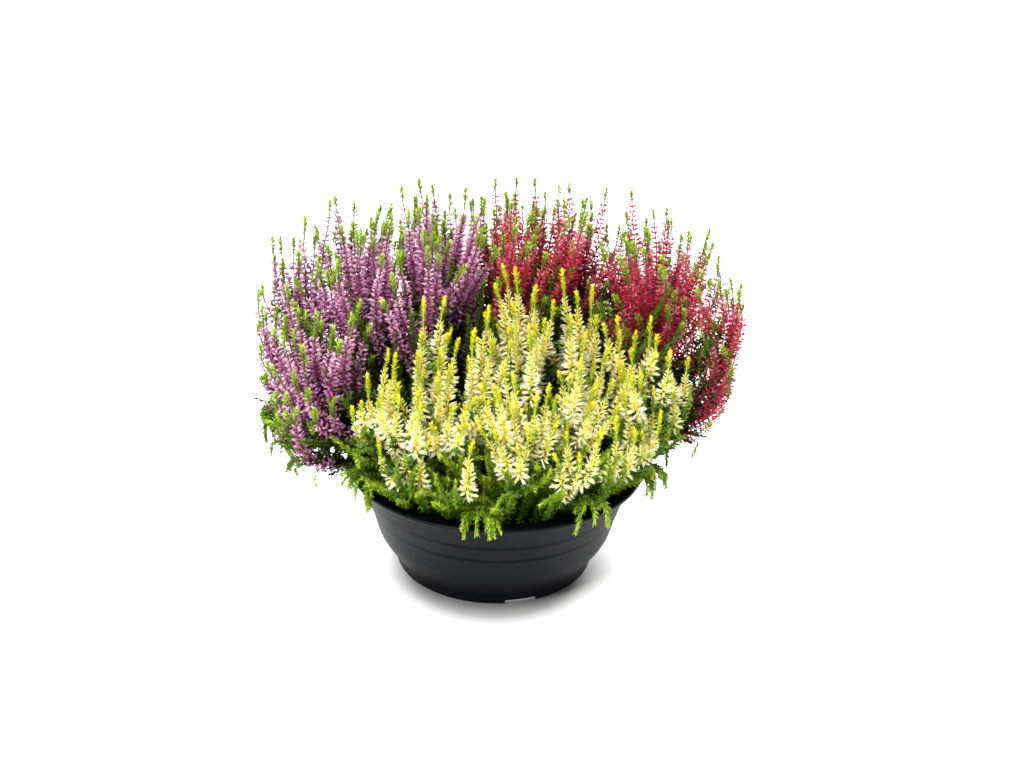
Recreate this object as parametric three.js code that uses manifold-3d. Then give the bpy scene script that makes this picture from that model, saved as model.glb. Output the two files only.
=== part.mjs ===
// Three heathers planted together in a round bowl. Millimetres, +Z up.
// The bowl's axis is the Z axis, its foot stands on z = 0 and its front faces -Y.
import * as THREE from 'three';
import Module from 'manifold-3d';

const wasm = await Module();
wasm.setup();
const { Manifold, Mesh } = wasm;

// ---- Driving dimensions: bowl and soil ----------------------------------------------
const DEG = Math.PI / 180;
const FIT = 0.3; // clearance between pieces that touch
const SIDES = 32; // flats round the bowl and the soil
const RIM_R = 115; // outer radius of the bowl's lip
const RIM_Z = 86; // top of the lip
const LIP_IN_R = 103.4; // inner edge of the lip
const LIP_DIP = 1; // how far the lip's inner edge slopes down
const FOOT_R = 75.6; // outer radius of the foot
const FOOT_IN_R = 63; // inner radius of the foot ring
const FLOOR_Z = 4.2; // underside of the bowl's floor
const FLOOR_T = 2.6; // thickness of the floor
const WALL = 2.3; // thickness of the wall
const NOTCHES = 3; // drainage notches in the foot
const NOTCH_W = 25;
const NOTCH_H = 3.6;
const NOTCH_AZ = -73 * DEG; // the first notch, near the front
const HOLES = 6; // drainage holes in the floor, on a ring, with one more in the middle
const HOLE_R = 4.5;
const HOLE_RING_R = 44;
const MIDDLE_HOLE_R = 4;
const SOIL_Z = 76; // level of the soil
const SOIL_BUMP = 0.8; // how uneven the soil is
const SOIL_FLAT_R = 90; // the soil is level outside this radius

// Outside of the wall from foot to lip, with two shallow steps in it: radius, height.
const OUTSIDE = [
  [FOOT_R, 0], [78.4, 10.5], [82.4, 16.5], [87.4, 23.5], [91.2, 31], [94.6, 44],
  [95.9, 48.6], [96.6, 49.6], [99.8, 61.2], [100.9, 62.4], [105.4, 81],
];
const INSIDE_Z = [FLOOR_Z + FLOOR_T, 20, 31, 62]; // heights of the corners inside the wall

// ---- Driving dimensions: plants -----------------------------------------------------
const START_Z = 79; // stems leave the upright here
const ROOT_Z = 65.5; // foot of each stem, in its hole in the soil
const STEM_R = 1.45; // main stem, centre to corner
const TWIG_R = 1.15; // side stem, centre to corner
const SPRAYS = 45; // flowering sprays in all, one stem each in the soil
const EDGE = 1.43; // outermost label of the growth disc
const GOLDEN = Math.PI * (3 - Math.sqrt(5));
const SPRAY_TURN = 0.4; // turns the lattice of sprays
const SHIFT = 0.2; // how far a shoot strays from its place in the lattice
const SOIL_REACH = 92; // outermost stems
const CROWN_SPREAD = 0.86; // 0 gathers a plant's stems at its crown, 1 spreads them evenly
const FORK_BEND = 0.72; // below 1, side shoots leave the main stem steeply
const LOW_RISE = 65; // shoots that rise less than this arch over the lip
const LOW_ARCH = 0.4;
const FALL_FRONT = [20, 0.5]; // in front of this Y the tips stand lower, by this slope
const SEAM = 0.3; // edges shorter than this are closed up where spikes join
const RING = 16; // distance between rings of florets along a spike
const FEWEST_RINGS = 4;
const MOST_RINGS = 5;
const TWIST = 24 * DEG; // turn of each ring beyond a quarter turn
const TIP_LIFT = 0.35; // florets point upwards by this share of their length
const STEM_STEP = 30; // distance between the joints of a bare main stem
const TWIG_STEP = 55; // and of a bare side stem
const LEAFY_R = [3.4, 2.2]; // leafy shoot, low and near its tip
const TIP_R = 0.8;
const SLIM_SHARE = 0.16; // length of a spike's tapered tip, as a share of its flowers
const CLEAR = 0.4; // clearance kept round every spike
const KIN = 0.55; // flowers of one spray may touch this closely
const SHORTER = 0.84; // a spike that isn't clear is tried this much shorter
const TRIALS = 4;

// The three plants. crown: where its stems gather; from, to: its sector; side, front: how
// far its tips reach; bend: how upright its stems start and end; drop: how much lower it is
// than the highest plant; slope: how fast it falls to both sides; tuck: how its skirt draws
// in; least: lowest flowering tip; count, turn: how closely its shoots stand; floret: how
// wide a spike is, low and near its tip; bloom: length of its flowers.
const PLANTS = {
  purple: {
    crown: [165 * DEG, 52], from: 106 * DEG, to: 214 * DEG, side: 178.5, front: 134.5,
    bend: 3.4, drop: 0, slope: 0, tuck: 0.18, least: 116, count: 240, turn: 1.1,
    colour: 0xb565ad, floret: [6.4, 3.4], bloom: [66, 98],
  },
  red: {
    crown: [44 * DEG, 52], from: -8 * DEG, to: 106 * DEG, side: 179.5, front: 134.5,
    bend: 3.0, drop: 0, slope: 0, tuck: 0.3, least: 116, count: 220, turn: 2.9,
    colour: 0xb8274f, floret: [6.0, 3.1], bloom: [66, 98],
  },
  white: {
    crown: [-80 * DEG, 50], from: -146 * DEG, to: -8 * DEG, side: 150, front: 137,
    bend: 3.4, drop: 20, slope: 0.22, tuck: 0, least: 112, count: 270, turn: 2.0,
    colour: 0xf3edc4, floret: [6.8, 3.0], bloom: [56, 84],
  },
};
// Shoots by height, as shares of the way up to the dome: share of all shoots up to and
// with this tier, height and its spread, fork and its spread.
const TIERS = [
  { upTo: 0.54, tall: 0.91, tallSpread: 0.14, fork: 0.2, forkSpread: 0.22 },
  { upTo: 0.8, tall: 0.68, tallSpread: 0.16, fork: 0.14, forkSpread: 0.14 },
  { upTo: 1, tall: 0.46, tallSpread: 0.16, fork: 0.08, forkSpread: 0.1 },
];
const TALL = 0.88; // a spray's main stem is one taller than this, if it has one

// The dome of tips over the bowl, out to where its steep skirt begins: label, share of the
// reach, height. The white plant's is a mound that stands flush with the front of the lip.
const DOME = [[0, 0, 286], [0.5, 0.43, 282], [0.9, 0.83, 266], [1.05, 1, 240]];
const MOUND = [
  [0, 0, 286], [0.5, 0.4, 288], [1, 0.78, 283], [1.2, 0.92, 272], [1.35, 0.98, 250], [1.5, 1, 218],
];
const SKIRT_Z = 88; // where the outermost tips hang
const SKIRT_BEND = 0.9;

// Leafy sprays without flowers, which hang over the lip.
const LEAF_COLOUR = 0x4f8a24;
const FRINGES = 10;
const FRINGE_AZ = -1.2;
const FRINGE_STEP = 0.07; // how far one is moved along the lip if it isn't clear
const FRINGE_TRIALS = 12;
const FRINGE_EDGE = 1.52; // their label
const FRINGE_SPREAD = 0.13; // how far their shoots stand to each side, radians
const FRINGE_R = 131; // where their tips hang
const FRINGE_DEPTH = 60; // millimetres outwards for each unit of label
const FRINGE_Z = 91;
const FRINGE_LENGTH = 60;
const FRINGE_SHOOTS = 3;
const FRINGE_RINGS = 3;

// ---- Small helpers ------------------------------------------------------------------
const mix = (a, b, t) => a + (b - a) * t;
const UP = new THREE.Vector3(0, 0, 1);

// Seeded draws, so the plants grow the same way every time.
function makeDraw(seed) {
  let state = seed;
  return () => {
    state = (state * 1664525 + 1013904223) % 4294967296;
    return state / 4294967296;
  };
}

// Value in a column at x, between rows sorted by their first value.
function ladder(x, rows, column) {
  let i = 0;
  while (i < rows.length - 2 && x > rows[i + 1][0]) i += 1;
  const t = (x - rows[i][0]) / (rows[i + 1][0] - rows[i][0]);
  return mix(rows[i][column], rows[i + 1][column], t);
}

function solidOf(positions, triangles) {
  const mesh = new Mesh({
    numProp: 3,
    vertProperties: new Float32Array(positions),
    triVerts: new Uint32Array(triangles),
  });
  mesh.merge();
  return new Manifold(mesh);
}

function partOf(name, solid, look) {
  const data = solid.getMesh();
  const geometry = new THREE.BufferGeometry();
  const places = [];
  for (let i = 0; i < data.numVert; i += 1) {
    for (let c = 0; c < 3; c += 1) places.push(data.vertProperties[i * data.numProp + c]);
  }
  geometry.setAttribute('position', new THREE.Float32BufferAttribute(places, 3));
  geometry.setIndex(Array.from(data.triVerts));
  geometry.computeVertexNormals();
  const part = new THREE.Mesh(geometry, new THREE.MeshStandardMaterial(look));
  part.name = name;
  return part;
}

// A body of revolution: the outline runs anticlockwise seen with r to the right, z up.
function turned(outline, sides) {
  const positions = [];
  const triangles = [];
  for (const [r, z] of outline) {
    for (let j = 0; j < sides; j += 1) {
      const az = (j / sides) * 2 * Math.PI;
      positions.push(r * Math.cos(az), r * Math.sin(az), z);
    }
  }
  for (let i = 0; i < outline.length; i += 1) {
    const next = (i + 1) % outline.length;
    for (let j = 0; j < sides; j += 1) {
      const k = (j + 1) % sides;
      const a = i * sides + j;
      const b = i * sides + k;
      const c = next * sides + k;
      const d = next * sides + j;
      triangles.push(a, b, c, a, c, d);
    }
  }
  return { positions, triangles };
}

// The same, with the outline starting and ending on the axis.
function turnedDisc(outline, sides) {
  const body = turned(outline, sides);
  const triangles = body.triangles.slice(0, (outline.length - 1) * sides * 6);
  const low = body.positions.length / 3;
  body.positions.push(0, 0, outline[0][1]);
  body.positions.push(0, 0, outline[outline.length - 1][1]);
  const last = (outline.length - 1) * sides;
  for (let j = 0; j < sides; j += 1) {
    const k = (j + 1) % sides;
    triangles.push(low, k, j);
    triangles.push(low + 1, last + j, last + k);
  }
  return { positions: body.positions, triangles };
}

// An upright block standing on a spot, turned about the vertical.
function block(x, y, z, length, width, height, az) {
  const shape = new THREE.BoxGeometry(length, width, height);
  shape.deleteAttribute('normal');
  shape.deleteAttribute('uv');
  shape.translate(0, 0, height / 2).rotateZ(az).translate(x, y, z);
  return solidOf(Array.from(shape.attributes.position.array), Array.from(shape.index.array));
}

// ---- Growth rule --------------------------------------------------------------------
// Every shoot has a label (x, y) in a disc. Its foot is near its plant's crown and its
// tip on the dome; shoots with different labels never cross.
function reach(plant, az) {
  return plant.front + (plant.side - plant.front) * Math.cos(az) ** 2;
}

function plantAt(az) {
  const turn = 2 * Math.PI;
  const { from } = PLANTS.white;
  const a = ((((az - from) % turn) + turn) % turn) + from;
  for (const [kind, plant] of Object.entries(PLANTS)) {
    if (a >= plant.from && a < plant.to) return kind;
  }
  return 'white';
}

function tipOf(spray, x, y) {
  const plant = PLANTS[spray.kind];
  const a = Math.hypot(x, y);
  const az = Math.atan2(y, x);
  if (spray.leafy) {
    const out = FRINGE_R + FRINGE_DEPTH * (a - FRINGE_EDGE);
    return [out * Math.cos(az), out * Math.sin(az), FRINGE_Z];
  }
  const dome = spray.kind === 'white' ? MOUND : DOME;
  const brink = dome[dome.length - 1][0];
  const r = reach(plant, az);
  let share = ladder(Math.min(a, brink), dome, 1);
  let height = ladder(Math.min(a, brink), dome, 2);
  height -= plant.drop + FALL_FRONT[1] * Math.max(0, FALL_FRONT[0] - r * share * Math.sin(az));
  height -= plant.slope * Math.abs(r * share * Math.cos(az));
  if (a > brink) {
    const d = (a - brink) / (EDGE - brink);
    height += (SKIRT_Z - height) * d ** SKIRT_BEND;
    share -= plant.tuck * d * d;
  }
  return [r * share * Math.cos(az), r * share * Math.sin(az), Math.max(height, plant.least)];
}

function footOf(spray, x, y) {
  const [crownAz, crownR] = PLANTS[spray.kind].crown;
  const r = SOIL_REACH * Math.sin((Math.PI / 2) * Math.min(1, Math.hypot(x, y) / EDGE));
  const az = Math.atan2(y, x);
  return [
    mix(crownR * Math.cos(crownAz), r * Math.cos(az), CROWN_SPREAD),
    mix(crownR * Math.sin(crownAz), r * Math.sin(az), CROWN_SPREAD),
  ];
}

// A point of the growth line of one label: t runs from 0 at the soil to 1 at the tip.
function growth(spray, x, y, t, tall) {
  const foot = footOf(spray, x, y);
  const tip = tipOf(spray, x, y);
  const { bend } = PLANTS[spray.kind];
  const rise = (tip[2] - START_Z) * tall;
  const out = 1 - (1 - t) ** bend * (1 + bend * t);
  const arch = LOW_ARCH * Math.max(0, LOW_RISE - rise);
  return new THREE.Vector3(
    mix(foot[0], tip[0], out),
    mix(foot[1], tip[1], out),
    START_Z + rise * t + arch * Math.sin(Math.PI * t),
  );
}

// A point on the centre line of one spike: side shoots leave the main stem at their fork.
function along(spray, spike, t) {
  const main = spray.spikes[0];
  if (spike === main) {
    return growth(spray, main.x, main.y, t, mix(1, main.tall, t));
  }
  const f = spike.fork;
  const w = t <= f ? 0 : ((t - f) / (1 - f)) ** FORK_BEND;
  const tall = mix(mix(1, main.tall, f), spike.tall, w);
  return growth(spray, mix(main.x, spike.x, w), mix(main.y, spike.y, w), t, tall);
}

// Arc length table of a spike's centre line, and how much of it flowers.
function measure(spray, spike) {
  const steps = 48;
  const isMain = spike === spray.spikes[0];
  spike.rows = [];
  spike.total = 0;
  let before = null;
  for (let i = 0; i <= steps; i += 1) {
    const t = mix(isMain ? 0 : spike.fork, 1, i / steps);
    const p = along(spray, spike, t);
    if (before) spike.total += p.distanceTo(before);
    spike.rows.push([spike.total, t]);
    before = p;
  }
  const room = spray.leafy ? 0.9 : isMain ? 0.68 : 0.84;
  spike.bloom = Math.min(spike.length, room * spike.total);
}

// Arc lengths of the joints of a spike's bare part, the last where its flowers begin.
function jointsOf(spray, spike) {
  const bare = spike.total - spike.bloom;
  const step = spike === spray.spikes[0] ? STEM_STEP : TWIG_STEP;
  const count = Math.max(1, Math.round(bare / step));
  return Array.from({ length: count }, (_, i) => (bare * (i + 1)) / count);
}

// The point at arc length s.
function pointAt(spray, spike, s) {
  return along(spray, spike, ladder(Math.min(spike.total, Math.max(0, s)), spike.rows, 1));
}

function radiusAt(spray, spike, s) {
  const left = spike.total - s;
  if (left > spike.bloom) return TWIG_R;
  const [wide, slim] = spray.leafy ? LEAFY_R : PLANTS[spray.kind].floret;
  const u = left / spike.bloom;
  if (u < SLIM_SHARE) return mix(TIP_R, slim, u / SLIM_SHARE);
  return mix(slim, wide, Math.min(1, 2 * (u - SLIM_SHARE)));
}

// Balls along a spike, with the clearance that it needs.
function ballsOf(spray, spike) {
  const balls = [];
  const count = Math.ceil(spike.total / 4);
  for (let i = 0; i <= count; i += 1) {
    const s = (spike.total * i) / count;
    const { x, y, z } = pointAt(spray, spike, s);
    const flowers = spike.total - s < spike.bloom;
    balls.push({ x, y, z, r: radiusAt(spray, spike, s) + CLEAR, s, flowers });
  }
  return balls;
}

// Whether the balls stand clear of the bowl, the soil and every spike of other sprays.
// Flowers of one spray may touch a little, and leaves of one spray as they like.
function isClear(spray, balls, placed) {
  const hole = 12; // the stem's first stretch, out of its hole
  const lipGap = 2;
  for (const { x, y, z, r, s } of balls) {
    const out = Math.hypot(x, y);
    if (s > hole && out < RIM_R && z - r < SOIL_Z + SOIL_BUMP) return false;
    if (out > LIP_IN_R - r - lipGap && out < RIM_R + r && z - r < RIM_Z) return false;
  }
  for (const other of placed) {
    const kin = other.spray === spray;
    if (kin && spray.leafy) continue;
    for (const a of balls) {
      for (const b of other.balls) {
        if (kin && !(a.flowers && b.flowers)) continue;
        const gap = (a.r + b.r) * (kin ? KIN : 1);
        if ((a.x - b.x) ** 2 + (a.y - b.y) ** 2 + (a.z - b.z) ** 2 < gap * gap) return false;
      }
    }
  }
  return true;
}

// Adds a side shoot to its spray if it stands clear, after shortening it if need be. It
// forks at the joint of the main stem that is nearest to where it would.
function addShoot(spray, shoot, placed) {
  const main = spray.spikes[0];
  const forks = jointsOf(spray, main).map((s) => ladder(s, main.rows, 1));
  const far = (fork) => Math.abs(fork - shoot.fork);
  shoot.fork = forks.reduce((best, fork) => (far(fork) < far(best) ? fork : best));
  for (let trial = 0; trial < TRIALS; trial += 1) {
    measure(spray, shoot);
    const balls = ballsOf(spray, shoot);
    if (isClear(spray, balls, placed)) {
      spray.spikes.push(shoot);
      placed.push({ spray, balls });
      return;
    }
    shoot.length = SHORTER * shoot.bloom;
  }
}

// The stems stand in a sunflower lattice over the growth disc.
function placeSprays() {
  const sprays = [];
  for (let i = 0; i < SPRAYS; i += 1) {
    const a = EDGE * Math.sqrt((i + 0.5) / SPRAYS);
    const az = i * GOLDEN + SPRAY_TURN;
    const kind = plantAt(az);
    sprays.push({ kind, leafy: false, x: a * Math.cos(az), y: a * Math.sin(az), spikes: [] });
  }
  return sprays;
}

// Shoots stand in closer lattices, one for each plant, and join the nearest spray.
function placeShoots(sprays, draw) {
  for (const [kind, plant] of Object.entries(PLANTS)) {
    const gap = EDGE * Math.sqrt(Math.PI / plant.count);
    for (let i = 0; i < plant.count; i += 1) {
      const a = EDGE * Math.sqrt((i + 0.5) / plant.count);
      const az = i * GOLDEN + plant.turn;
      const x = a * Math.cos(az) + gap * mix(-SHIFT, SHIFT, draw());
      const y = a * Math.sin(az) + gap * mix(-SHIFT, SHIFT, draw());
      const level = draw();
      const tier = TIERS.find((t) => level < t.upTo);
      const tall = tier.tall + tier.tallSpread * draw();
      const fork = tier.fork + tier.forkSpread * draw();
      const length = mix(plant.bloom[0], plant.bloom[1], draw());
      if (plantAt(Math.atan2(y, x)) !== kind) continue;
      const far = (spray) => (spray.x - x) ** 2 + (spray.y - y) ** 2;
      const own = sprays.filter((spray) => spray.kind === kind);
      const home = own.reduce((best, spray) => (far(spray) < far(best) ? spray : best));
      home.spikes.push({ x, y, tall, fork, length, away: far(home) });
    }
  }
}

function growSprays(placed, draw) {
  const sprays = placeSprays();
  placeShoots(sprays, draw);
  const rank = (spike) => spike.away + (spike.tall > TALL ? 0 : 1);
  const grown = sprays.filter((spray) => spray.spikes.length > 0);
  for (const spray of grown) {
    spray.spikes.sort((a, b) => rank(a) - rank(b));
    measure(spray, spray.spikes[0]);
    placed.push({ spray, balls: ballsOf(spray, spray.spikes[0]) });
  }
  for (const spray of grown) {
    const [main, ...others] = spray.spikes;
    spray.spikes = [main];
    for (const shoot of others) addShoot(spray, shoot, placed);
  }
  return grown;
}

// Leafy sprays round the lip, each where its stem stands clear.
function growFringe(placed, draw) {
  const fringe = [];
  const step = (2 * Math.PI) / FRINGES;
  for (let i = 0; i < FRINGES; i += 1) {
    for (let trial = 0; trial < FRINGE_TRIALS; trial += 1) {
      const az = FRINGE_AZ + step * (i + FRINGE_STEP * trial);
      const place = (a, angle) => ({ x: a * Math.cos(angle), y: a * Math.sin(angle) });
      const main = { ...place(FRINGE_EDGE, az), length: FRINGE_LENGTH, tall: 1 };
      const spray = { kind: plantAt(az), leafy: true, x: main.x, y: main.y, spikes: [main] };
      measure(spray, main);
      const balls = ballsOf(spray, main);
      if (!isClear(spray, balls, placed)) continue;
      placed.push({ spray, balls });
      for (let k = 0; k < FRINGE_SHOOTS; k += 1) {
        const aside = FRINGE_SPREAD * (k % 2 === 0 ? 1 : -1) * mix(0.5, 1, draw());
        const spot = place(FRINGE_EDGE + mix(-0.14, 0.08, draw()), az + aside);
        const tall = mix(0.4, 2.2, draw());
        const fork = mix(0.08, 0.4, draw());
        addShoot(spray, { ...spot, length: FRINGE_LENGTH, tall, fork }, placed);
      }
      fringe.push(spray);
      break;
    }
  }
  return fringe;
}

// ---- Spikes -------------------------------------------------------------------------
// Four-cornered rings along the spike: centre, direction, radii of its outer and inner
// corners, turn, and whether it starts with an inner corner.
function ringsOf(spray, spike, draw) {
  const isMain = spike === spray.spikes[0];
  const wood = isMain ? STEM_R : TWIG_R;
  const bare = spike.total - spike.bloom;
  const rings = [];
  if (isMain) {
    const foot = along(spray, spike, 0);
    const root = new THREE.Vector3(foot.x, foot.y, ROOT_Z);
    rings.push({ at: root, dir: UP, out: wood, inner: wood, turn: 0, odd: 0 });
    rings.push({ at: foot, dir: UP, out: wood, inner: wood, turn: 0, odd: 0 });
  }
  const slope = (s) => {
    const ahead = pointAt(spray, spike, s + 1.5);
    return ahead.sub(pointAt(spray, spike, s - 1.5)).normalize();
  };
  const joints = jointsOf(spray, spike);
  if (!isMain) joints.unshift(0);
  for (const s of joints.slice(0, -1)) {
    const thin = mix(wood, wood * 0.85, s / bare);
    const at = pointAt(spray, spike, s);
    rings.push({ at, dir: slope(s), out: thin, inner: thin, turn: 0, odd: 0 });
  }
  const fit = Math.round(spike.bloom / RING);
  const count = spray.leafy ? FRINGE_RINGS : Math.min(MOST_RINGS, Math.max(FEWEST_RINGS, fit));
  for (let i = 0; i < count; i += 1) {
    const s = bare + (spike.bloom * i) / count;
    const full = radiusAt(spray, spike, s) * mix(0.9, 1.08, draw());
    const out = i === 0 ? wood : full;
    const inner = i === 0 ? wood : Math.max(1.3, 0.5 * full);
    const at = pointAt(spray, spike, s);
    rings.push({ at, dir: slope(s), out, inner, turn: i * TWIST, odd: i % 2 });
  }
  return rings;
}

// A closed skin over the rings. Where it flowers, the corners of each ring stand out and
// draw in by turns, a quarter turn on from the ring below.
function spikeSolid(spray, spike, draw) {
  const rings = ringsOf(spray, spike, draw);
  const az = Math.atan2(spray.y, spray.x);
  const aside = new THREE.Vector3(-Math.sin(az), Math.cos(az), 0);
  const positions = [];
  for (const ring of rings) {
    const n = aside.clone().addScaledVector(ring.dir, -aside.dot(ring.dir)).normalize();
    const b = new THREE.Vector3().crossVectors(ring.dir, n);
    for (let k = 0; k < 4; k += 1) {
      const outer = (k + ring.odd) % 2 === 0;
      const r = outer ? ring.out : ring.inner;
      const lift = outer && ring.out > ring.inner ? TIP_LIFT * r : 0;
      const angle = ring.turn + (k * Math.PI) / 2;
      const p = ring.at.clone().addScaledVector(n, r * Math.cos(angle));
      p.addScaledVector(b, r * Math.sin(angle)).addScaledVector(ring.dir, lift);
      positions.push(p.x, p.y, p.z);
    }
  }
  const tip = pointAt(spray, spike, spike.total);
  positions.push(tip.x, tip.y, tip.z);
  const triangles = [0, 2, 1, 0, 3, 2];
  const last = rings.length - 1;
  for (let i = 0; i < last; i += 1) {
    for (let k = 0; k < 4; k += 1) {
      const a = i * 4 + k;
      const b = i * 4 + ((k + 1) % 4);
      const c = b + 4;
      const d = a + 4;
      if ((k + rings[i].odd) % 2 === 0) triangles.push(a, b, d, b, c, d);
      else triangles.push(a, b, c, a, c, d);
    }
  }
  for (let k = 0; k < 4; k += 1) {
    triangles.push(last * 4 + k, last * 4 + ((k + 1) % 4), (last + 1) * 4);
  }
  return solidOf(positions, triangles);
}

// One body: pockets shut in between spikes are filled and loose scrap is dropped.
function spraySolid(spray, draw) {
  const solids = spray.spikes.map((spike) => spikeSolid(spray, spike, draw));
  const shells = Manifold.union(solids).simplify(SEAM).decompose();
  return shells.reduce((a, b) => (b.volume() > a.volume() ? b : a));
}

// ---- Bowl and soil ------------------------------------------------------------------
// Inside of the wall: height, radius.
function insideOf() {
  const byHeight = OUTSIDE.map(([r, z]) => [z, r]);
  const rows = INSIDE_Z.map((z) => [z, ladder(z, byHeight, 1) - WALL]);
  rows.push([RIM_Z - LIP_DIP, LIP_IN_R]);
  return rows;
}

function makeBowl() {
  const wall = insideOf().reverse().map(([z, r]) => [r, z]);
  const outline = [
    [FOOT_IN_R, 0],
    ...OUTSIDE,
    [RIM_R - 1.2, 82], [RIM_R, 83.6], [RIM_R - 0.6, RIM_Z], [LIP_IN_R + 1, RIM_Z],
    ...wall,
    [MIDDLE_HOLE_R, FLOOR_Z + FLOOR_T], [MIDDLE_HOLE_R, FLOOR_Z], [FOOT_IN_R - 1, FLOOR_Z],
  ];
  const shell = turned(outline, SIDES);
  let bowl = solidOf(shell.positions, shell.triangles);
  for (let i = 0; i < NOTCHES; i += 1) {
    const az = NOTCH_AZ + (i * 2 * Math.PI) / NOTCHES;
    const r = (FOOT_R + FOOT_IN_R) / 2;
    const through = 2 * (FOOT_R - FOOT_IN_R);
    const [x, y] = [r * Math.cos(az), r * Math.sin(az)];
    bowl = bowl.subtract(block(x, y, -1, through, NOTCH_W, NOTCH_H + 1, az));
  }
  const rod = turnedDisc([[HOLE_R, -1], [HOLE_R, FLOOR_Z + FLOOR_T + 1]], 8);
  const drain = solidOf(rod.positions, rod.triangles);
  for (let i = 0; i < HOLES; i += 1) {
    const az = NOTCH_AZ + ((i + 0.5) * 2 * Math.PI) / HOLES;
    bowl = bowl.subtract(drain.translate([HOLE_RING_R * Math.cos(az), HOLE_RING_R * Math.sin(az), 0]));
  }
  return bowl;
}

// The soil fills the bowl, with a hole for each stem.
function makeSoil(sprays) {
  const inside = insideOf();
  const edge = (z) => [ladder(z, inside, 1) - FIT, z];
  const low = FLOOR_Z + FLOOR_T + FIT;
  const outline = [
    edge(low), ...INSIDE_Z.slice(1).map(edge), edge(SOIL_Z),
    [82, SOIL_Z], [52, SOIL_Z], [22, SOIL_Z],
  ];
  const body = turnedDisc(outline, SIDES);
  for (let i = 0; i < body.positions.length; i += 3) {
    const r = Math.hypot(body.positions[i], body.positions[i + 1]);
    const az = Math.atan2(body.positions[i + 1], body.positions[i]);
    if (body.positions[i + 2] === SOIL_Z && r < SOIL_FLAT_R) {
      body.positions[i + 2] += SOIL_BUMP * Math.sin(r * 0.23 + 3 * az) * Math.cos(5 * az - r * 0.11);
    }
  }
  let soil = solidOf(body.positions, body.triangles);
  const side = Math.SQRT2 * (STEM_R + Math.SQRT2 * FIT);
  for (const spray of sprays) {
    const { x, y } = along(spray, spray.spikes[0], 0);
    const az = Math.atan2(spray.y, spray.x) + Math.PI / 4;
    soil = soil.subtract(block(x, y, ROOT_Z - FIT, side, side, 20, az));
  }
  return soil;
}

// ---- Assembly -----------------------------------------------------------------------
const placed = [];
const growthDraw = makeDraw(3);
const flowering = growSprays(placed, growthDraw);
const sprays = flowering.concat(growFringe(placed, growthDraw));
const ringDraw = makeDraw(29);

const group = new THREE.Group();
group.name = 'potted_heather';

const container = new THREE.Group();
container.name = 'container';
container.add(partOf('bowl', makeBowl(), { color: 0x34373a, roughness: 0.5, metalness: 0 }));
container.add(partOf('soil', makeSoil(sprays), { color: 0x2b2018, roughness: 1, metalness: 0 }));
group.add(container);

for (const [kind, plant] of Object.entries(PLANTS)) {
  const heather = new THREE.Group();
  heather.name = `${kind}_heather`;
  const numbers = { flower: 0, leafy: 0 };
  for (const spray of sprays.filter((s) => s.kind === kind)) {
    const sort = spray.leafy ? 'leafy' : 'flower';
    numbers[sort] += 1;
    const name = `${kind}_${sort}_spray_${String(numbers[sort]).padStart(2, '0')}`;
    const look = { color: spray.leafy ? LEAF_COLOUR : plant.colour, roughness: 0.8, metalness: 0 };
    heather.add(partOf(name, spraySolid(spray, ringDraw), look));
  }
  group.add(heather);
}

export default group;
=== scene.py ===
"""Three heathers in a round planter bowl: mauve, crimson and cream-white.

The plants grow by the rule of the part's source, in millimetres, so every spray stands where
its CAD node does. This script then adds more shoots by the same rule and dresses all of them
with florets, scale leaves and twigs. Meshes are made in metres, in the frame of the CAD.
"""

import math

import bpy
import numpy as np
from mathutils import Matrix, Vector


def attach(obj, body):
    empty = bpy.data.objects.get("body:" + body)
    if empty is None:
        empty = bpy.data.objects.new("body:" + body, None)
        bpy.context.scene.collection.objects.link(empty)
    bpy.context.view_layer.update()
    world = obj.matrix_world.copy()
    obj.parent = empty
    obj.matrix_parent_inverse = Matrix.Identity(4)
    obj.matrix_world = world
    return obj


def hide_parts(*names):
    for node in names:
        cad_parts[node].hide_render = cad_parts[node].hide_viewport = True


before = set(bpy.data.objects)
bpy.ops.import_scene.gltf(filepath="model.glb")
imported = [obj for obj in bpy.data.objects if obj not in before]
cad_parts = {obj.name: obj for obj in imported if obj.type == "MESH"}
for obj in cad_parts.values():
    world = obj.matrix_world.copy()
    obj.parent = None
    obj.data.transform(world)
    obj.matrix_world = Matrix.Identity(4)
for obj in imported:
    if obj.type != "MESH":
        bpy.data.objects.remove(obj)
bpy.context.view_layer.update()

MM = 0.001
DEG = math.pi / 180

# ---- Bowl and soil, as in the part's source
RIM_R, RIM_Z, LIP_IN_R, LIP_DIP = 115, 86, 103.4, 1
FOOT_R, FOOT_IN_R, FLOOR_Z, FLOOR_T, WALL = 75.6, 63, 4.2, 2.6, 2.3
NOTCHES, NOTCH_W, NOTCH_H, NOTCH_ROUND, NOTCH_AZ = 3, 25, 3.6, 1.6, -73 * DEG
HOLES, HOLE_R, HOLE_RING_R, MIDDLE_HOLE_R = 6, 4.5, 44, 4
SOIL_Z, SOIL_BUMP, SOIL_EDGE = 76, 0.8, 0.3
OUTSIDE = [
    (FOOT_R, 0), (78.4, 10.5), (82.4, 16.5), (87.4, 23.5), (91.2, 31), (94.6, 44),
    (95.9, 48.6), (96.6, 49.6), (99.8, 61.2), (100.9, 62.4), (105.4, 81),
]
INSIDE_Z = [FLOOR_Z + FLOOR_T, 20, 31, 62]
BOWL_SIDES = 192
BOWL_SOFTEN = 1.5  # how far a corner of the bowl's section is rounded off
HOLE_SIDES, HOLE_CUT, NOTCH_CUT = 24, (1, 10), (-14, 14)  # from and to where the cutters reach
SOIL_SIDES, SOIL_RINGS, CRUMBS, CRUMB_SEED = 120, 44, 1100, 5

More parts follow.
